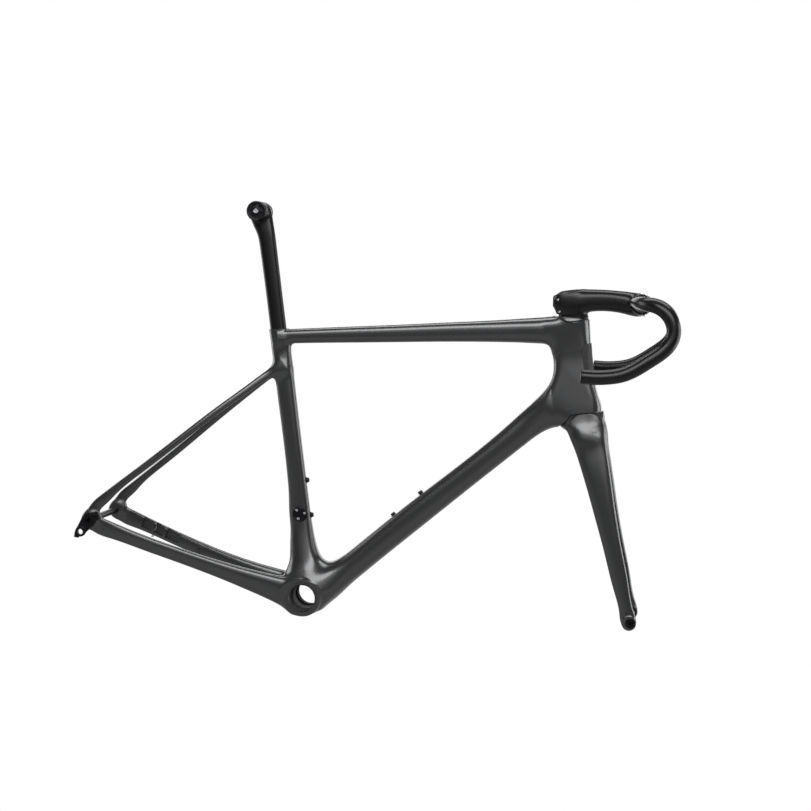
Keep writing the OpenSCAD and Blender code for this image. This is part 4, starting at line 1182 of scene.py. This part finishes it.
def row_tree():
    """Count copies of a fastener, a step apart, in a line or round a circle of the given radius."""
    tree, i, o = node_tree_with("Fastener pattern", [
        ("Count", "NodeSocketInt"), ("Step", "NodeSocketVector"), ("Circle radius", "NodeSocketFloat"),
        ("Fastener", "NodeSocketObject"), ("Finish", "NodeSocketMaterial"),
    ])
    line = tree.nodes.new("GeometryNodeMeshLine")
    tree.links.new(i.outputs["Count"], line.inputs["Count"])
    tree.links.new(i.outputs["Step"], line.inputs["Offset"])
    circle = tree.nodes.new("GeometryNodeMeshCircle")
    tree.links.new(i.outputs["Count"], circle.inputs["Vertices"])
    tree.links.new(i.outputs["Circle radius"], circle.inputs["Radius"])
    round_one = tree.nodes.new("FunctionNodeCompare")
    round_one.data_type = "FLOAT"
    round_one.operation = "GREATER_THAN"
    tree.links.new(i.outputs["Circle radius"], round_one.inputs[0])
    pick = tree.nodes.new("GeometryNodeSwitch")
    pick.input_type = "GEOMETRY"
    tree.links.new(round_one.outputs[0], pick.inputs["Switch"])
    tree.links.new(line.outputs[0], pick.inputs["False"])
    tree.links.new(circle.outputs[0], pick.inputs["True"])
    shape = tree.nodes.new("GeometryNodeObjectInfo")
    tree.links.new(i.outputs["Fastener"], shape.inputs["Object"])
    copies = tree.nodes.new("GeometryNodeInstanceOnPoints")
    tree.links.new(pick.outputs[0], copies.inputs["Points"])
    tree.links.new(shape.outputs["Geometry"], copies.inputs["Instance"])
    real = tree.nodes.new("GeometryNodeRealizeInstances")
    tree.links.new(copies.outputs[0], real.inputs[0])
    coat = tree.nodes.new("GeometryNodeSetMaterial")
    tree.links.new(real.outputs[0], coat.inputs["Geometry"])
    tree.links.new(i.outputs["Finish"], coat.inputs["Material"])
    tree.links.new(coat.outputs[0], o.inputs[0])
    return tree


def thread_tree():
    """A helical ridge: pitch, turns and radius of a cut thread."""
    tree, i, o = node_tree_with("Cut thread", [
        ("Turns", "NodeSocketFloat"), ("Radius", "NodeSocketFloat"), ("Length", "NodeSocketFloat"),
        ("Ridge", "NodeSocketFloat"), ("Finish", "NodeSocketMaterial"),
    ])
    spiral = tree.nodes.new("GeometryNodeCurveSpiral")
    spiral.inputs["Resolution"].default_value = 64
    tree.links.new(i.outputs["Turns"], spiral.inputs["Rotations"])
    tree.links.new(i.outputs["Radius"], spiral.inputs["Start Radius"])
    tree.links.new(i.outputs["Radius"], spiral.inputs["End Radius"])
    tree.links.new(i.outputs["Length"], spiral.inputs["Height"])
    profile = tree.nodes.new("GeometryNodeCurvePrimitiveCircle")
    profile.inputs["Resolution"].default_value = 4
    tree.links.new(i.outputs["Ridge"], profile.inputs["Radius"])
    ridge = tree.nodes.new("GeometryNodeCurveToMesh")
    ridge.inputs["Fill Caps"].default_value = True
    tree.links.new(spiral.outputs[0], ridge.inputs["Curve"])
    tree.links.new(profile.outputs[0], ridge.inputs["Profile Curve"])
    real = tree.nodes.new("GeometryNodeRealizeInstances")
    tree.links.new(ridge.outputs[0], real.inputs[0])
    coat = tree.nodes.new("GeometryNodeSetMaterial")
    tree.links.new(real.outputs[0], coat.inputs["Geometry"])
    tree.links.new(i.outputs["Finish"], coat.inputs["Material"])
    tree.links.new(coat.outputs[0], o.inputs[0])
    return tree


TREES = {}


def by_nodes(name, builder, place, **values):
    """Runs a node tree once, and returns its result as a plain mesh in place."""
    if builder not in TREES:
        TREES[builder] = builder()
    tree = TREES[builder]
    mesh = bpy.data.meshes.new(name)
    mesh.from_pydata([(0, 0, 0)], [], [])
    obj = bpy.data.objects.new(name, mesh)
    bpy.context.scene.collection.objects.link(obj)
    modifier = obj.modifiers.new("pattern", "NODES")
    modifier.node_group = tree
    sockets = {s.name: s.identifier for s in tree.interface.items_tree if s.in_out == "INPUT"}
    for key, value in values.items():
        modifier[sockets[key.replace("_", " ")]] = value
    result = bpy.data.meshes.new_from_object(obj.evaluated_get(bpy.context.evaluated_depsgraph_get()))
    obj.modifiers.clear()
    obj.data = result
    result.name = name
    bpy.data.meshes.remove(mesh)
    result.transform(scaled(place))
    return obj


def fastener_row(name, fastener, places, body, nodes, look, count, step=(0, 0, 0), radius=0.0):
    """The same fastener pattern at each place, as one piece."""
    parts = [
        by_nodes(name, row_tree, p, Count=count, Step=[v * MM for v in step], Circle_radius=radius * MM,
                 Fastener=fastener, Finish=finish(look))
        for p in places
    ]
    bpy.data.objects.remove(fastener)
    return finished(merged(name + "_set", parts), body, nodes, finish(look))


def row_place(line, along, above, out):
    """Local X runs along the line and local Z points out of its upper side, or its lower side when out is -1."""
    z = Vector((line.n[0], 0, line.n[1])) * out
    return placed((line.d[0], 0, line.d[1]), z, line.point(along, above))


def build_screws():
    steel_screw = screw_shape("cover_screw", 2.4, 1.5, 2.0, 1.5, 2.5)
    cover = MOUNT_COVER @ Matrix.Translation((0, 0, 14.0)) @ Matrix.Rotation(COVER_TURN, 4, "Z")
    fastener_row("cover_screw", steel_screw, [cover], "frame", ["cover_screws"], "steel", 3,
                 radius=COVER_SCREW_R)

    boss = turned("boss", [
        (2.6, -6), (3.6, -6), (3.6, 0.3), (5.1, 0.3), (5.5, 0.6), (5.5, 1.1), (5.0, 1.6), (2.6, 1.6),
    ], Matrix.Identity(4), 48)
    bolt = screw_shape("bottle_screw", 4.2, 3.2, 4.0, 2.5, 6)
    bolt.data.transform(Matrix.Translation((0, 0, 1.6 * MM)))
    bottle = merged("bottle_fastener", [boss, bolt])
    places = [row_place(DOWN, 219.1, 13.9, 1), row_place(SEAT, 146.5, -17.2, -1)]
    fastener_row("bottle_boss", bottle, places, "frame", ["bottle_bolts", "bottle_rivnuts"],
                 "black_alloy", 2, step=(64, 0, 0))

    pinch = screw_shape("pinch_screw", 2.8, 2.4, 2.5, 2.5, 24)
    base = Matrix.Translation(Vector(STEER.point(PINCH_HEIGHT, PINCH_BACK, -15.5))) @ across(0, 0)
    turn = Matrix.Rotation(-math.atan2(STEER.d[1], STEER.d[0]), 4, "Z")
    fastener_row("pinch_bolt", pinch, [base @ turn.inverted()], "fork", ["pinch_bolts"], "steel", 2,
                 step=(PINCH_STEP, 0, 0))

    face = screw_shape("face_screw", 2.6, 2.0, 2.5, 1.75, 12)
    rows = []
    for height in (-17.75, 17.75):
        m = place_along((513.5, -21, BAR_AT[1] + height), (1, 0, 0))
        level = m.inverted().to_3x3().col[1]
        rows.append(m @ Matrix.Rotation(math.atan2(level[1], level[0]), 4, "Z"))
    fastener_row("face_bolt", face, rows, "fork", ["faceplate_bolts"], "steel", 2, step=(42, 0, 0))

    cap = turned("cap", [
        (3.4, 0), (15.8, 0), (16.3, 0.6), (16.3, 2.2), (15.2, 3.6), (12, 4.2), (5.6, 4.0), (4.6, 2.6), (3.4, 2.6),
    ], STEER.place(214), 96, finish("carbon"))
    finished(cap, "fork", ["top_cap"])
    centre = screw_shape("cap_screw", 4.2, 1.6, 3.2, 3.0, 34)
    centre.data.transform(scaled(STEER.place(216.6)))
    finished(centre, "fork", ["top_cap_bolt"], finish("steel"))


# ---------------------------------------------------------------- small parts on the frame
def build_bracket():
    face = SHELL_HALF + 0.5
    profile = [
        (BORE_R + 1.5, -face), (29.6, -face), (30.4, -face + 0.7), (30.4, -face + 3), (BORE_R + 2, -face + 3),
        (BORE_R + 2, face - 3), (30.4, face - 3), (30.4, face - 0.7), (29.6, face), (BORE_R + 1.5, face),
        (BORE_R + 0.1, face - 1.4), (BORE_R + 0.1, -face + 1.4),
    ]
    sleeve = turned("sleeve", profile, across(0, 0), 160, finish("alloy"))
    parts = [sleeve]
    # The cut threads take the dark rubber finish instead of bare alloy: painted shade inside the bore.
    for out in (-1, 1):
        parts.append(by_nodes(
            "thread", thread_tree, across(0, 0, out * 13, out), Turns=23.0, Radius=(BORE_R + 0.25) * MM,
            Length=28.5 * MM, Ridge=0.5 * MM, Finish=finish("rubber"),
        ))
    # A thin dark rubber sheet lining the bore: painted shade standing in for the shadow inside the sleeve.
    liner = [(BORE_R + 0.05, 2 - face), (BORE_R + 0.05, face - 2), (BORE_R + 1, face - 2), (BORE_R + 1, 2 - face)]
    parts.append(turned("liner", liner, across(0, 0), 160, finish("rubber")))
    return finished(merged("bracket_sleeve", parts), "frame", ["bb_sleeve"])


def build_mount_cover():
    disc = turned("mount_cover", [
        (0, 11), (13.6, 11), (14, 11.5), (14, 13.2), (13.5, 14), (12.4, 14.3), (11.8, 13.9), (11.2, 14.1), (6, 14.3),
        (0, 14.35),
    ], MOUNT_COVER, 128, finish("black_alloy"))
    holes = []
    for a in (COVER_TURN, COVER_TURN + 2 * math.pi / 3, COVER_TURN + 4 * math.pi / 3):
        shift = Matrix.Translation((COVER_SCREW_R * math.cos(a), COVER_SCREW_R * math.sin(a), 0))
        holes.append(rod("hole", 2.6, 13.8, 20, MOUNT_COVER @ shift, 40))
    cut(disc, holes)
    return finished(disc, "frame", ["derailleur_mount_cover"])


def build_hanger():
    hole_x, mid, hole_z = HANGER_HOLE
    bolt_x, bolt_z = -391, 84
    web = Plate([(-415, 76), (-424, hole_z), (hole_x + 9, hole_z), (-393, 67)], mid, 6, 0.8)
    arm = Plate([(-411, 82), (-395, 89), (-386, 80), (-395, 64)], mid, 6, 0.8)
    spur = Plate([(-424.5, 38.5), (-417.5, 38.5), (-415.5, 47.5), (-424.5, 47.5)], mid, 6, 0.8)

    def field(p):
        a = join(drum(p, REAR_AXLE[0], REAR_AXLE[2], 12.5, 3, mid), drum(p, hole_x, hole_z, 9, 3, mid), 2)
        a = join(a, web(p), 3)
        a = join(a, join(arm(p), drum(p, bolt_x, bolt_z, 6.5, 3, mid), 3), 3)
        return join(a, spur(p), 1.5)

    points, faces = solid_mesh(field, (-432, mid - 6, 32), (-380, mid + 6, 96), 0.9)
    hanger = make_object("mech_hanger", points, faces, finish("black_alloy"))
    cut(hanger, [rod("axle", AXLE_R + 0.1, -110, 140, across(REAR_AXLE[0], REAR_AXLE[2]))])
    cut(hanger, [rod("thread", 5, 70, 100, across(hole_x, hole_z), 60)])
    cut(hanger, [rod("bolt", 2.6, 70, 100, across(bolt_x, bolt_z), 40)])
    cut(hanger, [rod("sink", 4.4, 83.4, 100, across(bolt_x, bolt_z), 40)])
    polish(hanger, field)
    finished(hanger, "frame", ["derailleur_hanger"], sharp=None)
    screw = screw_shape("hanger_screw", 4.1, 3.4, 3.0, 2.4, 10)
    screw.data.transform(scaled(across(bolt_x, bolt_z, -83.4)))
    return finished(screw, "frame", ["hanger_bolt"], finish("black_alloy"))


def build_axles():
    for name, node, body, at, half, right, left, flange in (
        ("rear_thru_axle", "rear_axle", "rear_axle", REAR_AXLE, DROP_INNER, -84.5, 79.1, 8.6),
        ("front_thru_axle", "front_axle", "front_axle", FRONT_AXLE, TIP_INNER, -59.0, 60.8, 8.6),
    ):
        r = AXLE_R
        profile = [
            (0, right + 8), (3.4, right + 8), (3.4, right + 0.6), (4, right), (r - 0.7, right), (r, right + 0.7),
            (r, -half - 1), (r - 0.4, -half - 0.8), (r - 0.4, -half - 0.2), (r, -half), (r, half),
            (r - 0.4, half + 0.2), (r - 0.4, half + 0.8), (r, half + 1), (r, left), (flange - 0.5, left),
            (flange, left + 0.5), (flange, left + 3), (flange - 1, left + 4), (0, left + 4),
        ]
        axle = turned(name, profile, across(at[0], at[2], 0, 1), 96, finish("black_alloy"))
        hexagon = [(3.46 * math.cos(a), 3.46 * math.sin(a)) for a in np.radians(range(0, 360, 60))]
        cut(axle, [prism("socket", hexagon, left - 2, left + 9, across(at[0], at[2], 0, 1))])
        finished(axle, body, [node])


def build_fork_tips():
    parts = []
    for side in (-1, 1):
        parts.append(turned("tip", rounded_disc(AXLE_R + 0.06, 9.0, TIP_INNER, TIP_INNER + 10.6, 0.5),
                            across(FRONT_AXLE[0], FRONT_AXLE[2], 0, side), 96, finish("black_alloy")))
    return finished(merged("fork_tip_rings", parts), "fork", ["fork_tip_inserts"])


GUARD_AT, GUARD_HALF = 94, 27   # its middle up the head tube, and half its length


def build_guard(sizes):
    shell = frame_field(sizes)

    def field(p):
        s, n = STEER.local(p)
        side = n + 9 + 5 * np.clip((np.abs(s - GUARD_AT) - 18) / 9, 0, 1)
        ends = np.abs(s - GUARD_AT) - GUARD_HALF
        skin = shell(p)
        return np.maximum(np.maximum(skin - 0.7, -skin - 2.5), np.maximum(side, ends))

    points, faces = solid_mesh(field, (405, -26, 455), (452, 26, 545), 1.3)
    guard = make_object("nose_guard", points, faces, finish("rubber"))
    polish(guard, field, 0.9)
    return finished(guard, "frame", ["head_tube_guard"], sharp=None)


def build_stay_fittings():
    """The oval hose port in the left chainstay."""
    at = Strut(CHAIN, CHAIN_ROWS).at(186)
    port = Matrix.Translation(Vector(CHAIN.point(186, -4, at[4] - at[2] / 2 + 0.6))) @ across(0, 0)
    port = port @ Matrix.Rotation(math.radians(11), 4, "Z") @ Matrix.Diagonal((1.5, 0.85, 1, 1))
    ring = turned("hose_port", [
        (3.4, -3), (5.4, -3), (5.6, -0.4), (6.9, -0.2), (7.3, 0.5), (7.0, 1.2), (5.6, 1.9), (4.2, 1.7), (3.5, 0.9),
    ], port, 72, finish("rubber"))
    finished(ring, "frame", ["hose_grommet"])


def finish_cad_nodes():
    """Every CAD part that still shows gets the finish of its own slot."""
    slots = {s["node"]: s["material_slot"] for s in frame["record"]["subparts"]}
    for name, node in frame["nodes"].items():
        look = finish(SLOT_FINISH[slots[name]])
        node.data.materials.clear()
        node.data.materials.append(look)


# ---------------------------------------------------------------- floor, light and camera
def soft_light(name, at, target, width, height, power):
    data = bpy.data.lights.new(name, "AREA")
    data.shape = "RECTANGLE"
    data.size, data.size_y, data.energy = width, height, power
    light = bpy.data.objects.new(name, data)
    bpy.context.scene.collection.objects.link(light)
    light.location = at
    light.visible_camera = False
    light.rotation_euler = (Vector(target) - Vector(at)).to_track_quat("-Z", "Y").to_euler()
    return light


def seen_directly(tree, other, direct, out):
    """One shader for light and reflections, another for what is looked at straight."""
    path = tree.nodes.new("ShaderNodeLightPath")
    mix = tree.nodes.new("ShaderNodeMixShader")
    tree.links.new(path.outputs["Is Camera Ray"], mix.inputs[0])
    tree.links.new(other.outputs[0], mix.inputs[1])
    tree.links.new(direct.outputs[0], mix.inputs[2])
    tree.links.new(mix.outputs[0], out.inputs["Surface"])


def build_stage(sizes):
    n, half = 24, 9.0
    points, faces = [], []
    for i in range(n + 1):
        for j in range(n + 1):
            x, y = (-half / MM + 2 * half / MM * k / n for k in (i, j))
            points.append((x, y, -sizes.lift / MM))
    for i in range(n):
        for j in range(n):
            a = i * (n + 1) + j
            faces.append((a, a + n + 1, a + n + 2, a + 1))
    floor = make_object("floor", points, faces)
    pale = bpy.data.materials.new("pale_floor")
    pale.use_nodes = True
    tree = pale.node_tree
    matt = tree.nodes["Principled BSDF"]
    matt.inputs["Base Color"].default_value = (0.35, 0.35, 0.35, 1)
    matt.inputs["Roughness"].default_value = 0.9
    glow = tree.nodes.new("ShaderNodeEmission")
    glow.inputs["Color"].default_value = (1, 1, 1, 1)
    seen_directly(tree, matt, glow, tree.nodes["Material Output"])
    floor.data.materials.append(pale)

    world = bpy.data.worlds.new("studio")
    bpy.context.scene.world = world
    world.use_nodes = True
    tree = world.node_tree
    room = tree.nodes["Background"]
    room.inputs["Color"].default_value = (0.5, 0.5, 0.5, 1)
    room.inputs["Strength"].default_value = 0.06
    white = tree.nodes.new("ShaderNodeBackground")
    white.inputs["Color"].default_value = (1, 1, 1, 1)
    seen_directly(tree, room, white, tree.nodes["World Output"])

    middle = (0.08, 0, 0.33)
    soft_light("key", (0.2, -2.2, 1.95), middle, 3.2, 1.2, 95)
    soft_light("side", (0.3, -3.7, 1.35), middle, 3.6, 1.3, 15)
    soft_light("overhead", (0.1, 0.5, 2.1), middle, 2.4, 0.8, 34)
    soft_light("behind", (0.1, 3.0, 0.7), middle, 4.5, 2.2, 45)
    soft_light("front", (2.2, 0.3, 0.5), middle, 1.6, 1.8, 40)
    soft_light("rear", (-2.1, 0.4, 0.5), middle, 1.4, 1.6, 28)

    yaw, pitch, roll = math.radians(8.98), math.radians(3.56), math.radians(9.58)
    forward = (-math.sin(yaw) * math.cos(pitch), math.cos(yaw) * math.cos(pitch), -math.sin(pitch))
    right = Vector((math.cos(yaw), math.sin(yaw), 0))
    up = right.cross(Vector(forward))
    tilt = Matrix.Rotation(-roll, 3, "Y")
    camera = bpy.data.objects.new("camera", bpy.data.cameras.new("camera"))
    camera.data.lens, camera.data.sensor_width = 75.24, 36
    camera.data.clip_start, camera.data.clip_end = 0.1, 60
    m = Matrix.Identity(4)
    for i, v in enumerate((right, up, -Vector(forward))):
        m.col[i][:3] = tilt @ v
    m.col[3][:3] = (0.55924, -3.00676, 0.63882)
    camera.matrix_world = m
    bpy.context.scene.collection.objects.link(camera)
    bpy.context.scene.camera = camera
    bpy.context.scene.view_settings.view_transform = "Standard"


# ---------------------------------------------------------------- add-on
class FramesetOperator:
    bl_options = {"REGISTER", "UNDO"}

    def execute(self, context):
        self.build(context.scene.frameset_sizes)
        return {"FINISHED"}


class FRAMESET_OT_frame(FramesetOperator, bpy.types.Operator):
    """Mould the frame: main tubes, stays and dropouts in one shell"""
    bl_idname = "frameset.frame"
    bl_label = "Frame"

    def build(self, sizes):
        build_frame(sizes)


class FRAMESET_OT_fork(FramesetOperator, bpy.types.Operator):
    """Mould the fork, with its axle rings"""
    bl_idname = "frameset.fork"
    bl_label = "Fork"

    def build(self, sizes):
        build_fork(sizes)
        build_fork_tips()


class FRAMESET_OT_cockpit(FramesetOperator, bpy.types.Operator):
    """Make the stem, its spacer and top cover, and the bar with its end plugs"""
    bl_idname = "frameset.cockpit"
    bl_label = "Cockpit"

    def build(self, sizes):
        build_stem()
        build_top_cover(sizes)
        build_bar()


class FRAMESET_OT_seatpost(FramesetOperator, bpy.types.Operator):
    """Make the seatpost and the saddle rail clamp on its head"""
    bl_idname = "frameset.seatpost"
    bl_label = "Seatpost"

    def build(self, sizes):
        build_seatpost()
        build_rail_clamp()


class FRAMESET_OT_screws(FramesetOperator, bpy.types.Operator):
    """Place the screws and bottle bosses"""
    bl_idname = "frameset.screws"
    bl_label = "Screws"

    def build(self, sizes):
        build_screws()


class FRAMESET_OT_fittings(FramesetOperator, bpy.types.Operator):
    """Make the bottom bracket sleeve, hanger, mount cover, guard, hose port and axles"""
    bl_idname = "frameset.fittings"
    bl_label = "Fittings"

    def build(self, sizes):
        build_bracket()
        build_mount_cover()
        build_hanger()
        build_axles()
        build_guard(sizes)
        build_stay_fittings()
        finish_cad_nodes()


class FRAMESET_OT_stage(FramesetOperator, bpy.types.Operator):
    """Lay the pale floor and set the soft lights and the camera"""
    bl_idname = "frameset.stage"
    bl_label = "Floor, lights and camera"

    def build(self, sizes):
        build_stage(sizes)


OPERATORS = (
    FRAMESET_OT_frame, FRAMESET_OT_fork, FRAMESET_OT_cockpit, FRAMESET_OT_seatpost, FRAMESET_OT_screws,
    FRAMESET_OT_fittings, FRAMESET_OT_stage,
)


class FRAMESET_PT_panel(bpy.types.Panel):
    """Lists the frameset's sizes, colours and pieces"""
    bl_idname = "FRAMESET_PT_panel"
    bl_label = "Road frameset"
    bl_space_type = "VIEW_3D"
    bl_region_type = "UI"
    bl_category = "Frameset"

    def draw(self, context):
        for group in (context.scene.frameset_sizes, context.scene.frameset_colours):
            box = self.layout.box()
            for key in group.bl_rna.properties.keys():
                if key not in ("rna_type", "name"):
                    box.prop(group, key)
        for operator in OPERATORS:
            self.layout.operator(operator.bl_idname)


CLASSES = (FramesetSizes, FramesetColours, *OPERATORS, FRAMESET_PT_panel)


def register():
    for cls in CLASSES:
        bpy.utils.register_class(cls)
    bpy.types.Scene.frameset_sizes = PointerProperty(type=FramesetSizes)
    bpy.types.Scene.frameset_colours = PointerProperty(type=FramesetColours)


def unregister():
    del bpy.types.Scene.frameset_sizes
    del bpy.types.Scene.frameset_colours
    for cls in reversed(CLASSES):
        bpy.utils.unregister_class(cls)


def main():
    register()
    for operator in OPERATORS:
        area, name = operator.bl_idname.split(".")
        getattr(getattr(bpy.ops, area), name)()


if __name__ == "__main__":
    main()
